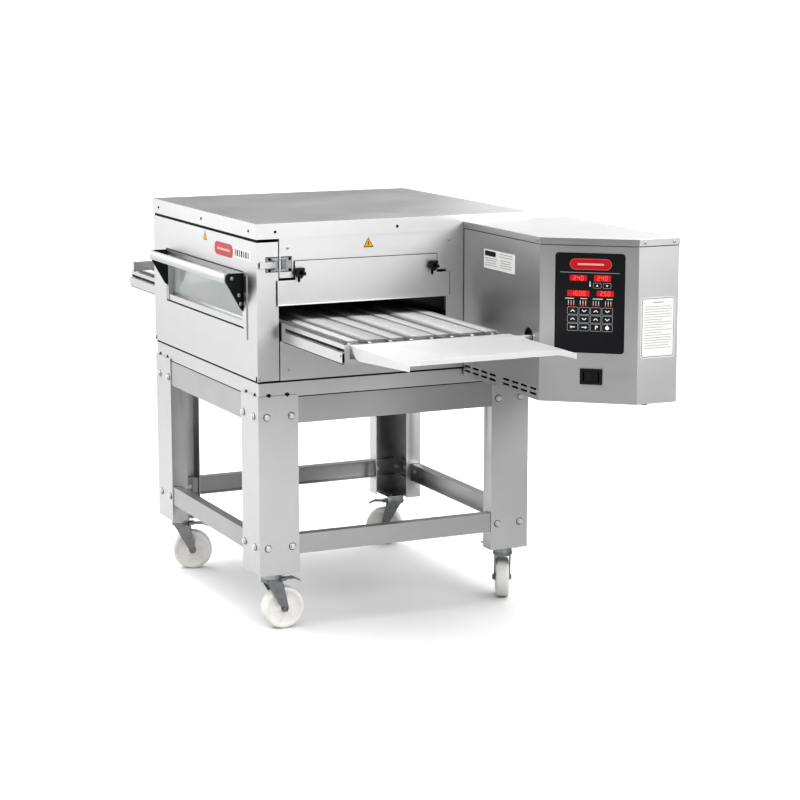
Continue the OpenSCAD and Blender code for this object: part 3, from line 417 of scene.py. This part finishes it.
def eased(node, material, body, width=BROKEN_EDGE):
    """Replaces a CAD node with a copy whose sharp edges are broken, as deburred or folded metal has."""
    bm = bmesh.new()
    bm.from_mesh(cad[node].data)
    bmesh.ops.remove_doubles(bm, verts=bm.verts, dist=1e-6)
    bmesh.ops.dissolve_limit(bm, angle_limit=math.radians(0.5), verts=bm.verts, edges=bm.edges)
    mesh = bpy.data.meshes.new(node + "_eased")
    bm.to_mesh(mesh)
    bm.free()
    made = bpy.data.objects.new(node + "_eased", mesh)
    bpy.context.scene.collection.objects.link(made)
    bevel = made.modifiers.new("broken_edges", "BEVEL")
    bevel.width = width / 1000
    bevel.segments = 2
    bevel.limit_method = "ANGLE"
    bevel.angle_limit = math.radians(40)
    result = bpy.data.meshes.new_from_object(made.evaluated_get(bpy.context.evaluated_depsgraph_get()))
    bpy.data.objects.remove(made)
    return dressed(node + "_eased", result, material, body, (node,), 18)


def coat(material, *names):
    """Gives CAD nodes that show as they are their finish."""
    for name in names:
        data = cad[name].data
        data.materials.clear()
        data.materials.append(material)


# ------------------------------------------------------------------ carried-over nodes
ends = ("exit", "entry")
casters = [side + "_" + end for side in ("front", "rear") for end in ends]
coat(stainless, "exit_end_panel", "entry_end_panel", "back_panel", "front_door", "hatch_frame", "conveyor_frame")
coat(mill_stainless, "stand_rails")
coat(housing_stainless, "control_housing")
coat(heated_stainless, "chamber_liner", "air_ducts", "fan_wheel", "door_liner")
coat(zinc, "caster_plates", "door_hinges", "latch_bases", "latch_keepers", "latch_bail_exit", "latch_bail_entry",
     "drive_shaft", "idler_shaft", "motor_sprocket")
coat(rock_wool, "insulation")
coat(heater_skin, "heaters")
coat(enamel, "fan_motor", "gear_motor")
coat(glass, "hatch_glass")
coat(abs_black, "power_switch", "switch_bezel", "supply_gland")
coat(film, "keypad_film")
coat(board, "control_board")

# ------------------------------------------------------------------ belt
BELT_FRONT, BELT_BACK = 77.0, 577.0
SHAFT_Z, TURN = 944.0, 26.0
DRIVE_X, IDLER_X = 446.0, -1361.0
# The real belt's wires are finer and closer; these are as coarse as they need to be to show
PITCH, WIRE_RADIUS = 7.2, 1.25
SEAMS = (90, 128, 218, 273, 369, 416, 521, 565)


def belt_wire():
    """One cross wire: straight spans with a hooked finger at each seam that catches the next wire."""
    bm = bmesh.new()
    path = [(0.0, BELT_FRONT + 1, 0.0)]
    for y in SEAMS:
        path += [(0, y - 1.7, 0), (PITCH + 0.8, y - 0.8, 0.2), (PITCH + 0.8, y + 0.8, 0.2),
                 (0, y + 1.7, 0)]
    path.append((0.0, BELT_BACK - 1, 0.0))
    tube(bm, path, WIRE_RADIUS, 4)
    return bm


def round_loop(radius, count, low, high, mid_y):
    """Points and turns on a loop round two equal circles, each at (x, z)."""
    (x0, z0), (x1, z1) = low, high
    way = Vector((x1 - x0, 0, z1 - z0))
    length = way.length
    way.normalize()
    out = Vector((-way.z, 0, way.x))
    total = 2 * length + 2 * math.pi * radius
    places = []
    for k in range(count):
        s = total * k / count
        if s < length:
            p, direction = Vector((x0, mid_y, z0)) + way * s + out * radius, way
        elif s < length + math.pi * radius:
            a = (s - length) / radius
            p = Vector((x1, mid_y, z1)) + (out * math.cos(a) + way * math.sin(a)) * radius
            direction = way * math.cos(a) - out * math.sin(a)
        elif s < 2 * length + math.pi * radius:
            t = s - length - math.pi * radius
            p, direction = Vector((x1, mid_y, z1)) - way * t - out * radius, -way
        else:
            a = (s - 2 * length - math.pi * radius) / radius
            p = Vector((x0, mid_y, z0)) - (out * math.cos(a) + way * math.sin(a)) * radius
            direction = out * math.sin(a) - way * math.cos(a)
        places.append((tuple(p), (0.0, math.atan2(-direction.z, direction.x), 0.0)))
    return places


loop_length = 2 * (DRIVE_X - IDLER_X) + 2 * math.pi * TURN
wires = round(loop_length / PITCH)
repeat("wire_belt", belt_wire(), round_loop(TURN, wires, (IDLER_X, SHAFT_Z), (DRIVE_X, SHAFT_Z), 0),
       drawn_wire, ROOT, ("belt",), sharp=80)


# ------------------------------------------------------------------ roller chain between motor and shaft
CHAIN_RADIUS, CHAIN_LINKS, CHAIN_Y, MOTOR_Z = 33.0, 32, 725, 846


def chain_link():
    """Two side plates with pointed ends, and the roller between them at one end."""
    bm = bmesh.new()
    half_pitch = 6.35
    plate = [(side * half_pitch + past, z) for side, past, z in
             ((-1, -2, -3), (1, 2, -3), (1, 3.5, 0), (1, 2, 3), (-1, -2, 3), (-1, -3.5, 0))]
    for y in (-2.6, 2.6):
        prism(bm, plate, y - 0.6, y + 0.6, Matrix.Rotation(math.pi / 2, 4, "X"))
    rod(bm, (-5, -3, 0), (-5, 3, 0), 3.3, 10)
    return bm


repeat("roller_chain", chain_link(),
       round_loop(CHAIN_RADIUS, CHAIN_LINKS, (DRIVE_X, MOTOR_Z), (DRIVE_X, SHAFT_Z), CHAIN_Y),
       chain_steel, ROOT, ("drive_chain",))

# ------------------------------------------------------------------ wheels
# Where each caster points, in degrees from +X
HEADING = {"front_exit": 90, "front_entry": 70, "rear_exit": 155, "rear_entry": 240}
RIM, HALF = 66.0, 21.0
TREAD = [(6.3, HALF - 0.5), (14, HALF - 0.5), (16, HALF - 1.2), (18, HALF - 5), (26, HALF - 7.5),
         (RIM - 20, HALF - 7), (RIM - 16, HALF - 4.5), (RIM - 13, HALF - 1), (RIM - 6, HALF),
         (RIM - 2.2, HALF - 1.2), (RIM - 0.4, HALF - 5), (RIM, HALF - 12)]
for spot in casters:
    low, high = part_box("wheel_" + spot)
    middle = (low + high) / 2
    turned = Matrix.Rotation(math.radians(HEADING[spot]), 4, "Z")
    axle = Matrix.Translation((middle - corner) * 1000) @ turned @ Matrix.Rotation(math.pi / 2, 4, "X")
    bm = bmesh.new()
    lathe(bm, [(r, -h) for r, h in TREAD] + TREAD[::-1], axle, 72)
    finished("nylon_wheel_" + spot, bm, nylon, "wheel_" + spot, ("wheel_" + spot,), sharp=50)
    bm = bmesh.new()
    for k in range(6):
        spoke = axle @ Matrix.Rotation(math.radians(60 * k + 12), 4, "Z")
        for side in (-1, 1):
            block(bm, (17, -1.4, min(side * 12, side * 16)), (RIM - 18, 1.4, max(side * 12, side * 16)), spoke)
    finished("wheel_ribs_" + spot, bm, nylon, "wheel_" + spot, edge=0.5)
    bm = bmesh.new()
    for side in (-1, 1):
        lathe(bm, [(6.4, side * (HALF - 0.8)), (6.4, side * (HALF + 0.4)), (12.5, side * (HALF + 0.4)),
                   (13.2, side * (HALF - 0.8))], axle, 32)
    finished("bearing_shields_" + spot, bm, zinc, "wheel_" + spot)

# ------------------------------------------------------------------ bolts and screws
def hex_bolt():
    """Flanged hex head with a turned chamfer, its shank and the nut behind the two sheets."""
    part = bmesh.new()
    lathe(part, [(0.01, 0), (9.6, 0), (9.6, 1.2), (9.1, 1.7), (0.01, 1.7)], Matrix.Identity(4), 20)
    corners = [(8.6 * math.cos(math.radians(60 * k)), 8.6 * math.sin(math.radians(60 * k))) for k in range(6)]
    prism(part, corners, 1.6, 7.4)
    lathe(part, [(0.01, 7.3), (7.8, 7.3), (6.6, 8.4), (0.01, 8.4)], Matrix.Identity(4), 18)
    rod(part, (0, 0, -16), (0, 0, 0.5), 5, 12)
    prism(part, corners, -14.2, -6.2)
    return part


def small_screw():
    """Low domed head and a short shank."""
    part = bmesh.new()
    lathe(part, [(0.01, 0), (4.4, 0), (4.2, 1.0), (2.6, 1.9), (0.01, 2.1)], Matrix.Identity(4), 12)
    rod(part, (0, 0, -5), (0, 0, 0.5), 1.75, 8)
    return part


def both_ends(y, z, proud=0):
    """The same place on the exit end and on the entry end."""
    return [((proud, y, z), OUT_EXIT), ((-CASING_LONG - proud, y, z), OUT_ENTRY)]


def front_and_back(x, z, proud=0):
    return [((x, -proud, z), OUT_FRONT), ((x, CASING_DEEP + proud, z), OUT_BACK)]


bolts, cover_spots, panel_spots = [], [], []
for z in (678, 270):
    for y in (28, 108, 816, 896):
        bolts += both_ends(y, z)
    for x in (-38, -124, -820, -906):
        bolts += front_and_back(x, z)
for x in (-60, -472, -884):
    cover_spots += front_and_back(x, COVER_SCREW_Z, COVER_PROUD)
for y in (60, 462, 864):
    # The control box covers the last place on the exit end
    spots = both_ends(y, COVER_SCREW_Z, COVER_PROUD)
    cover_spots += spots[1:] if y > BOX_FRONT else spots
for z in (819, 1190):
    for y in (100, 640):
        panel_spots += both_ends(y, z)
repeat("hex_bolts", hex_bolt(), bolts, zinc_bright, ROOT, ("fasteners",), sharp=25)
# Painted shade: a dark ring under each bolt head, for the shade round it
shade_ring = bmesh.new()
lathe(shade_ring, [(5.3, 0.05), (11.4, 0.05), (11.4, 0.7), (5.3, 0.7)], Matrix.Identity(4), 20)
repeat("bolt_washers", shade_ring, bolts, dark_screw, ROOT, ("fasteners",))
# The box's lid and the latch plates stand proud of the sheet behind them, and their screws sit on them
lid_spots = [((x, 688.9, 1235), OUT_FRONT) for x in (22, 484)]
lid_spots += [((683.1, y, 1235), OUT_EXIT) for y in (932, 1030)]
repeat("lid_screws", small_screw(), lid_spots, zinc, ROOT)
for body, y in (("door", 40), (ROOT, 106)):
    spots = [((x, y, z), turn) for x, turn in ((4.05, OUT_EXIT), (-948.05, OUT_ENTRY)) for z in (1125.5, 1158.5)]
    repeat("latch_screws_" + body, small_screw(), spots, dark_screw, body)
repeat("cover_screws", small_screw(), cover_spots, dark_screw, ROOT, ("fasteners",))
repeat("panel_screws", small_screw(), panel_spots, zinc, ROOT, ("fasteners",))
bm = bmesh.new()
for y in KNOB_Y.values():
    rod(bm, (-6, y, KNOB_Z), (9.2, y, KNOB_Z), 3, 16)
    rod(bm, (-938, y, KNOB_Z), (-953.2, y, KNOB_Z), 3, 16)
finished("knob_studs", bm, zinc, ROOT, ("fasteners",))

# ------------------------------------------------------------------ painted shade: black strips and discs in the dark gaps
bm = bmesh.new()
# Painted shade, as black strips: under the casing's panels, under the cover, along the top of the base tray, and
# under the tray
for low, high in (((-938, 4.4, 785.1), (-6, 40, 785.7)), ((-40, 4.4, 785.1), (-4.4, 919, 785.7)),
                  ((-939.6, 4.4, 785.1), (-904, 919, 785.7)), ((-938, 884, 785.1), (-6, 919, 785.7)),
                  ((-938, 3.5, 1211), (-6, 8, 1221)), ((-940.4, 3.5, 782.2), (-3.6, 4, 784.9)),
                  ((-4, 3.5, 782.2), (-3.5, 920.5, 784.9)),
                  ((-940.4, 3.5, 734.3), (-3.6, 4, 736.6)), ((-940.4, 920, 734.3), (-3.6, 920.5, 736.6)),
                  ((-4, 3.5, 734.3), (-3.5, 920.5, 736.6)), ((-940.5, 3.5, 734.3), (-940, 920.5, 736.6))):
    block(bm, low, high)
# Painted shade: black discs where the notches over the legs show dark
NOTCH_SHADE_Z, NOTCH_SHADE_RADIUS = 742, 8
for y in (36, 96, 828, 888):
    for x0, x1 in ((-4.1, -3.4), (-939.9, -940.6)):
        rod(bm, (x0, y, NOTCH_SHADE_Z), (x1, y, NOTCH_SHADE_Z), NOTCH_SHADE_RADIUS, 20)
for x in (-36, -108, -836, -908):
    for y0, y1 in ((4.1, 3.4), (919.9, 920.6)):
        rod(bm, (x, y0, NOTCH_SHADE_Z), (x, y1, NOTCH_SHADE_Z), NOTCH_SHADE_RADIUS, 20)
finished("casing_seals", bm, shade_black, ROOT)
# Painted shade: thin black strips on the rails' web above the fascia and just under it, for the dark band and the
# shade line there
bm = bmesh.new()
for x0, x1 in ((42, 482), (-1409, -986)):
    block(bm, (x0, 73.5, 945.5), (x1, 73.95, 953))
    block(bm, (x0, 68, 911), (x1, 73.8, 913.7))
finished("rail_wipers", bm, shade_black, ROOT)
# Painted shade: black pads behind the latch plates, for the dark outlines round them
for body, y0, y1 in (("door", 29, 69), (ROOT, 78.5, 113.5)):
    bm = bmesh.new()
    for x0, x1 in ((0.05, 0.9), (-944.9, -944.05)):
        block(bm, (x0, y0, 1119), (x1, y1, 1165))
    finished("latch_pads_" + body, bm, shade_black, body)
# Painted shade: black strips along each baffle's left and top edges, for the shadow gap between baffle and end
# panel
for end_name, out in (("exit", lambda x: x), ("entry", lambda x: -CASING_LONG - x)):
    bm = bmesh.new()
    for low, high in (((2.5, 63.4, 1017), (4.4, 65, 1093)), ((2.5, 120.4, 1094), (4.4, 122, 1151.4)),
                      ((2.5, 122, 1150), (4.4, 596, 1151.4)), ((2.5, 640, 1017), (4.4, 641.4, 1093)),
                      ((2.5, 596, 1094), (4.4, 597.4, 1151.4))):
        x0, x1 = sorted((out(low[0]), out(high[0])))
        block(bm, (x0, low[1], low[2]), (x1, high[1], high[2]))
    finished("baffle_edging_" + end_name, bm, shade_black, end_name + "_baffle")

# ------------------------------------------------------------------ sheet metal with eased edges
for name in ("top_cover", "base_tray", "stand_legs", "control_lid"):
    eased(name, stainless, ROOT)
for name in ("exit_baffle", "entry_baffle"):
    eased(name, stainless, name)
eased("exit_tray", satin_stainless, "exit_tray")
# Outline of a knob's head: five rounded arms
star = []
HOLLOW, ARM = 11.6, 5.8
for k in range(60):
    reach = HOLLOW + ARM * (0.5 + 0.5 * math.cos(math.radians(30 * k))) ** 0.8
    star.append((reach * math.cos(math.radians(6 * k)), reach * math.sin(math.radians(6 * k))))
for end_name in ends:
    eased("latch_lever_" + end_name, stainless, "latch_lever_" + end_name, 0.6)
    outward, start_x = (1, 4.5) if end_name == "exit" else (-1, -948.5)
    for place_name, y in KNOB_Y.items():
        knob = "knob_%s_%s" % (end_name, place_name)
        middle = Matrix.Translation((start_x, y, KNOB_Z)) @ Matrix.Rotation(outward * math.pi / 2, 4, "Y")
        bm = bmesh.new()
        lathe(bm, [(3.05, 0), (8.4, 0), (9, 0.8), (9, 5.2), (3.05, 5.2)], middle, 32)
        prism(bm, star, 5.25, 18, middle)
        lathe(bm, [(0.01, 17.9), (6.5, 17.9), (5.6, 18.0), (0.01, 18.0)], middle, 24)
        finished(knob + "_star", bm, abs_black, knob, (knob,), edge=1.1)
for spot in casters:
    eased("brake_" + spot, zinc_dull, "brake_" + spot, 0.8)
    eased("fork_" + spot, zinc_dull, "fork_" + spot, 0.6)

# ------------------------------------------------------------------ control panel
# The slanted face goes from the fold on the box's front to the one on its end
FOLD_X, FOLD_Y = 496, 914
slant = math.atan2(FOLD_Y - BOX_FRONT, BOX_END - FOLD_X)
# X runs along the slanted panel, Y is up and Z stands out of it
panel = Matrix.Translation((FOLD_X, BOX_FRONT, 0)) @ Matrix.Rotation(slant, 4, "Z") \
    @ Matrix.Rotation(math.pi / 2, 4, "X")
FILM_FACE = 0.85


def on_panel(s, z, out=FILM_FACE):
    """A place on the slanted panel: s along it from the front fold, z up from the floor."""
    return panel @ Matrix.Translation((s, z, out))


def tile(bm, matrix, width, height, thick, radius):
    """A thin rectangle with rounded corners."""
    prism(bm, rounded_outline(width, height, radius, 4), 0, thick, matrix)


def printed(name, parts, material, thick=0.12, body=ROOT):
    """Flat printed shapes: each is a matrix, a width, a height and a corner radius."""
    bm = bmesh.new()
    for matrix, width, height, radius in parts:
        tile(bm, matrix, width, height, thick, radius)
    return finished(name, bm, material, body)


BADGE = (149.5, 1169.5)
printed("badge_rim", [(on_panel(*BADGE), 124, 33, 16.4)], vinyl_rose, thick=0.35)
printed("badge_pill", [(on_panel(*BADGE), 118, 28, 13.9)], vinyl_red, thick=0.5)
printed("badge_stripe", [(on_panel(*BADGE, 1.35), 78, 6, 2.6)], vinyl_pale, thick=0.1)
printed("panel_rule", [(on_panel(147, 1145), 176, 1.6, 0.7)], ink_grey)
display_spots = [(113.5, 1129, 51, 17), (184, 1129.5, 50, 19), (114, 1084, 66, 18), (193, 1085, 50, 17)]
printed("display_windows", [(on_panel(s, z), w, h, 2) for s, z, w, h in display_spots], window_red)
# Each bar of a seven-bar digit: its place, and whether it lies flat
SEGMENTS = {"a": (0, 6, True), "b": (3, 3, False), "c": (3, -3, False), "d": (0, -6, True),
            "e": (-3, -3, False), "f": (-3, 3, False), "g": (0, 0, True)}
DIGITS = {"0": "abcdef", "1": "bc", "2": "abged", "4": "fgbc", "5": "afgcd", "6": "afgedc"}
LONG_BAR, THIN_BAR, DIGIT_PITCH = 5.4, 1.5, 11
bm = bmesh.new()
for (s, z, w, h), shown in zip(display_spots, ("240", "240", "1600", "250")):
    for k, digit in enumerate(shown):
        middle = s + (k - (len(shown) - 1) / 2) * DIGIT_PITCH
        for part in DIGITS[digit]:
            dx, dz, flat = SEGMENTS[part]
            width, height = (LONG_BAR, THIN_BAR) if flat else (THIN_BAR, LONG_BAR)
            tile(bm, on_panel(middle + dx, z + dz, 0.97), width, height, 0.1, 0.6)
finished("display_digits", bm, led_red, ROOT)
caption_spots = ((88, 26), (130, 20), (171, 30), (206, 18))
printed("printed_captions", [(on_panel(s, 1069), w, 2.2, 0.6) for s, w in caption_spots]
        + [(on_panel(148, 1114), 2.4, 12, 1.1), (on_panel(148, 1107), 5, 5, 2.4)], ink_white)
marks = [s + dx for s in (93, 128, 166, 202) for dx in (-8, 0, 8)]
printed("indicator_marks", [(on_panel(s, 1058), 1.8, 11, 0.8) for s in marks], ink_white)
printed("indicator_lamps", [(on_panel(s, 1050), 3, 3, 1.4) for s in marks], led_red)
# Twelve keys in three rows, and two small ones beside the upper displays
keys = [(98 + 34 * c, 1033 - 24 * r) for r in range(3) for c in range(4)]
SMALL_KEYS, SMALL_KEY_Z, KEY_FACE, MARK_FACE = (169, 198), 1108, 1.05, 1.3
printed("key_frames", [(on_panel(s, z), 32, 22.5, 3.5) for s, z in keys]
        + [(on_panel(s, SMALL_KEY_Z), 24, 16, 3) for s in SMALL_KEYS], ink_grey, thick=0.25)
printed("key_faces", [(on_panel(s, z, KEY_FACE), 29.2, 19.6, 2.6) for s, z in keys]
        + [(on_panel(s, SMALL_KEY_Z, KEY_FACE), 21.6, 13.6, 2.4) for s in SMALL_KEYS], film, thick=0.25)
bm = bmesh.new()
for k, (s, z) in enumerate(keys):
    spot = on_panel(s, z, MARK_FACE)
    if k < 8:
        up = 1 if k % 2 == 0 else -1
        for side in (-1, 1):
            arm = spot @ Matrix.Translation((3 * side, 0, 0)) @ Matrix.Rotation(-0.7 * side * up, 4, "Z")
            tile(bm, arm, 9, 3, 0.1, 1.2)
    elif k < 10:
        way = 1 if k == 9 else -1
        tile(bm, spot, 15, 3, 0.1, 1)
        prism(bm, [(way * 3, -5), (way * 9, 0), (way * 3, 5)][::way], 0, 0.1, spot)
    elif k == 10:
        tile(bm, spot, 3, 12, 0.1, 1)
        tile(bm, spot @ Matrix.Translation((3, 3, 0)), 8, 6, 0.1, 2.5)
    else:
        prism(bm, rounded_outline(12, 12, 5.9, 5), 0, 0.1, spot)
        tile(bm, spot @ Matrix.Translation((0, 5, 0.05)), 2.6, 7, 0.1, 1)
for s, up in zip(SMALL_KEYS, (1, -1)):
    arrow = [(-4 * up, -2.5 * up), (4 * up, -2.5 * up), (0, 3.5 * up)]
    prism(bm, arrow, 0, 0.1, on_panel(s, SMALL_KEY_Z, MARK_FACE))
finished("key_marks", bm, ink_white, ROOT)

# ------------------------------------------------------------------ labels
def facing_front(x, y, z):
    """A place whose drawing is read from the front, with Z standing out towards -Y."""
    return Matrix.Translation((x, y, z)) @ Matrix.Rotation(math.pi / 2, 4, "X")


def facing_end(x, y, z):
    """A place whose drawing is read from the exit end, with Z standing out towards +X."""
    quarter = math.pi / 2
    return Matrix.Translation((x, y, z)) @ Matrix.Rotation(quarter, 4, "Z") @ Matrix.Rotation(quarter, 4, "X")


# Labels stand out of their sheet by a few hundredths of a millimetre; each layer sits on the one below
ON_BOX, ON_RATING = BOX_FRONT - 0.05, BOX_FRONT - 0.25
# Painted shadow: a black line just under the lid's skirt, along the slanted panel, the front and the end of the
# box
printed("lid_seal_line", [(on_panel(145, BOX_SEAM_Z, 0.02), 289, 1.8, 0.5),
                          (facing_front(248, ON_BOX, BOX_SEAM_Z), 488, 1.8, 0.5),
                          (facing_end(BOX_END + 0.02, 981, BOX_SEAM_Z), 132, 1.8, 0.5)], shade_black)
NOTICE_Y, NOTICE_Z, FULL_LINE = 981, 986.5, 92
for name, out, width, height, radius, finish in (
        ("sheet", 0.05, 114, 178, 9, vinyl_white), ("border", 0.15, 108, 172, 7, vinyl_black),
        ("face", 0.2, 105, 169, 6, vinyl_white)):
    printed("notice_" + name, [(facing_end(BOX_END + out, NOTICE_Y, NOTICE_Z), width, height, radius)],
            finish, 0.1)
lines = []
for k in range(17):
    width = random.choice((FULL_LINE, FULL_LINE, 88, 84, 60))
    lines.append((facing_end(BOX_END + 0.3, NOTICE_Y - (FULL_LINE - width) / 2, 1048 - 7.6 * k), width, 1.6, 0.6))
lines.append((facing_end(BOX_END + 0.3, NOTICE_Y, 1060), 34, 3.2, 1))
printed("notice_lines", lines, ink_pale, 0.06)
printed("rating_plate", [(facing_front(239, ON_BOX, 1146), 202, 58, 3)], vinyl_white, 0.2)
printed("rating_block", [(facing_front(180, ON_RATING, 1163), 70, 15, 2)], vinyl_black, 0.08)
columns = [(facing_front(186 + 96 * c, ON_RATING, 1149 - 7 * k), 80 - 9 * ((k + c) % 3), 2.0, 0.8)
           for k in range(4) for c in range(2)]
headings = [(facing_front(282, ON_RATING, z), 82, 2.0, 0.8) for z in (1168, 1160)]
printed("rating_lines", columns + headings, ink_pale, 0.08)
bars = [(facing_front(-176 + 18 * k, -0.25, 1164), 7 + 4 * (k % 2), 20, 1) for k in range(7)]
for name, tiles, finish, thick in (
        ("door_badge", [(facing_front(-277, -0.05, 1162.5), 158, 41, 20)], vinyl_red, 0.6),
        ("door_badge_stripe", [(facing_front(-277, -0.65, 1162.5), 112, 7, 3)], vinyl_pale, 0.1),
        ("door_label_bars", bars, vinyl_black, 0.1),
        ("door_label", [(facing_front(-121, -0.05, 1164), 150, 32, 2)], vinyl_white, 0.2)):
    printed(name, tiles, finish, thick, "door")
triangle = [(-17, -13), (17, -13), (0, 17)]
inner = [(x * 0.82, z * 0.82) for x, z in triangle]
for name, matrix, body in (("end", facing_end(0.05, 366, 1193), ROOT),
                           ("door", facing_front(-443, -0.05, 1189), "door")):
    for layer, outline, low, high, finish in (("edge", triangle, 0, 0.15, vinyl_black),
                                              ("face", inner, 0.15, 0.25, vinyl_yellow)):
        bm = bmesh.new()
        prism(bm, outline, low, high, matrix)
        finished("triangle_%s_%s" % (layer, name), bm, finish, body)
    mark = matrix @ Matrix.Translation((0, -1, 0.25))
    printed("triangle_mark_" + name, [(mark, 2.4, 12, 1.1)], vinyl_black, 0.08, body)

# ------------------------------------------------------------------ hatch fittings
# Draws in Y and Z, and thickens along X
across = Matrix(((0, 0, 1, 0), (1, 0, 0, 0), (0, 1, 0, 0), (0, 0, 0, 1)))
plate_outline = [(1, 1106.8), (-46, 1106.8), (-52, 1104), (-55, 1098), (-56, 1082), (-50, 1070), (-8, 996),
                 (1, 989)]
bm = bmesh.new()
for x in (-816.4, -117.4):
    prism(bm, plate_outline, x, x + 3.8, across)
finished("handle_brackets", bm, powder, "hatch", ("hatch_handle",), edge=0.5)
bm = bmesh.new()
bar_outline = [(-60, 1081), (-60, 1103), (-58.5, 1106), (-55.5, 1107), (-51, 1107), (-48.6, 1105), (-48, 1101),
               (-48, 1083), (-48.6, 1079), (-51, 1077), (-55.5, 1077), (-58.5, 1078)]
prism(bm, bar_outline, -800, -130, across)
finished("handle_bar", bm, stainless, "hatch", ("hatch_handle",), edge=0.6)
bm = bmesh.new()
for x0, x1 in ((-812.2, -799.5), (-130.5, -117.8)):
    prism(bm, bar_outline, x0, x1, across)
finished("handle_end_caps", bm, stainless, "hatch", ("hatch_handle",), edge=1.2)


def domed_head(radius, height):
    """A plain domed screw head."""
    part = bmesh.new()
    lathe(part, [(0.01, 0), (radius, 0), (radius, height * 0.3), (radius * 0.8, height * 0.75),
                 (radius * 0.45, height), (0.01, height)], Matrix.Identity(4), 12)
    return part


bracket_spots = [((x, y, z), turn) for x, turn in ((-816.5, OUT_ENTRY), (-113.5, OUT_EXIT))
                 for y, z in ((-9, 1013), (-14, 1040), (-36, 1092))]
repeat("bracket_screws", domed_head(6, 2.2), bracket_spots, zinc, "hatch")
bm = bmesh.new()
for a, b in (((-807, 20.4, 959), (-123, 21.9, 964)), ((-807, 20.4, 1092), (-123, 21.9, 1097)),
             ((-807, 20.4, 959), (-802, 21.9, 1097)), ((-128, 20.4, 959), (-123, 21.9, 1097))):
    block(bm, a, b)
finished("window_bead", bm, stainless, "hatch", edge=0.6)

# ------------------------------------------------------------------ camera
view = bpy.data.cameras.new("camera")
view.lens = 101.0
view.sensor_width = 36
eye = bpy.data.objects.new("camera", view)
eye.location = (6.477, -2.919, 1.948)
tilt_down, heading = 10.33, 65.01
eye.rotation_euler = (math.radians(90 - tilt_down), 0, math.radians(heading))
bpy.context.scene.collection.objects.link(eye)
bpy.context.scene.camera = eye

# ------------------------------------------------------------------ studio
bm = bmesh.new()
bmesh.ops.create_circle(bm, cap_ends=True, segments=96, radius=3.4)
floor_mesh = bpy.data.meshes.new("floor")
bm.to_mesh(floor_mesh)
bm.free()
floor_paint, tree, place = start("studio_floor_matt")
straight = add(tree, "ShaderNodeLightPath").outputs["Is Camera Ray"]
# Pale to look at; the steel mirrors it as greys with painted shade, darker behind the oven, as a floor outside
# the lamps' pool is
sides = add(tree, "ShaderNodeSeparateXYZ", {0: place.outputs["Object"]})
away = add(tree, "ShaderNodeMapRange", {"Value": sides.outputs["Y"], "From Min": 0.2, "From Max": 1.4})
mirrored_floor = blended(tree, away.outputs[0], "#c6c6c6", "#555555")
seen = add(tree, "ShaderNodeMix", {0: straight, 6: mirrored_floor, 7: linear("#f6f6f6")}, data_type="RGBA")
end(tree, add(tree, "ShaderNodeBsdfPrincipled", {"Base Color": seen.outputs[2], "Roughness": 0.9}))
floor_mesh.materials.append(floor_paint)
floor = bpy.data.objects.new("floor", floor_mesh)
bpy.context.scene.collection.objects.link(floor)


def softbox(name, position, target, width, height, power):
    """A soft rectangular lamp, in metres and watts, turned to its target."""
    lamp = bpy.data.lights.new(name, "AREA")
    lamp.shape = "RECTANGLE"
    lamp.size, lamp.size_y, lamp.energy = width, height, power
    made = bpy.data.objects.new(name, lamp)
    made.location = position
    made.rotation_euler = (Vector(target) - Vector(position)).to_track_quat("-Z", "Y").to_euler()
    bpy.context.scene.collection.objects.link(made)


softbox("overhead", (-0.8, -0.6, 7.0), (-0.4, -0.2, 0), 11, 11, 700)
softbox("front_wall", (-5.5, -4.6, 2.2), (0, 0, 0.7), 5, 3.6, 52)
softbox("side_wall", (5.2, 2.4, 3.2), (0.3, 0.1, 0.9), 3.6, 2.4, 74)
softbox("back_wall", (-5.0, 4.2, 3.0), (0.3, 0.6, 1.0), 2.8, 1.8, 13)
# The air round the studio: a pale backdrop to look at, and a grey for the steel to mirror, with three darker
# patches in it as black flags beside the lamps would give
world = bpy.data.worlds.new("studio_air")
bpy.context.scene.world = world
world.use_nodes = True
air = world.node_tree
air.nodes.clear()
seen_straight = add(air, "ShaderNodeLightPath").outputs["Is Camera Ray"]
way = add(air, "ShaderNodeTexCoord").outputs["Generated"]


def flagged(direction, width, depth):
    """A soft dark flag in one direction; width is the cosine at its edge."""
    aligned = add(air, "ShaderNodeVectorMath", {0: way, 1: direction}, operation="DOT_PRODUCT")
    return add(air, "ShaderNodeMapRange", {"Value": aligned.outputs["Value"], "From Min": width, "From Max": 1.0,
                                           "To Min": 0.0, "To Max": depth}).outputs[0]


# Past the exit end towards the back, past the entry end, and low past the exit end's front corner
FLAGS = (((0.80, 0.60, 0.0), 0.93, 0.40), ((-0.91, 0.37, 0.18), 0.86, 0.40),
         ((0.63, -0.76, -0.15), 0.82, 0.62))
first, second, third = [flagged(*flag) for flag in FLAGS]
flags = add(air, "ShaderNodeMath", {0: first, 1: second}, operation="ADD")
flags = add(air, "ShaderNodeMath", {0: flags.outputs[0], 1: third}, operation="ADD")
AIR_STRENGTH = 0.66
strength = add(air, "ShaderNodeMath", {0: AIR_STRENGTH, 1: flags.outputs[0]}, operation="SUBTRACT")
mirrored = add(air, "ShaderNodeBackground", {"Color": linear("#f6f6f6"), "Strength": strength.outputs[0]})
backdrop = add(air, "ShaderNodeBackground", {"Color": linear("#ffffff"), "Strength": 1.0})
both = add(air, "ShaderNodeMixShader", {0: seen_straight, 1: mirrored.outputs[0], 2: backdrop.outputs[0]})
add(air, "ShaderNodeOutputWorld", {0: both.outputs[0]})
bpy.context.scene.view_settings.view_transform = "Standard"
bpy.context.scene.view_settings.look = "High Contrast"
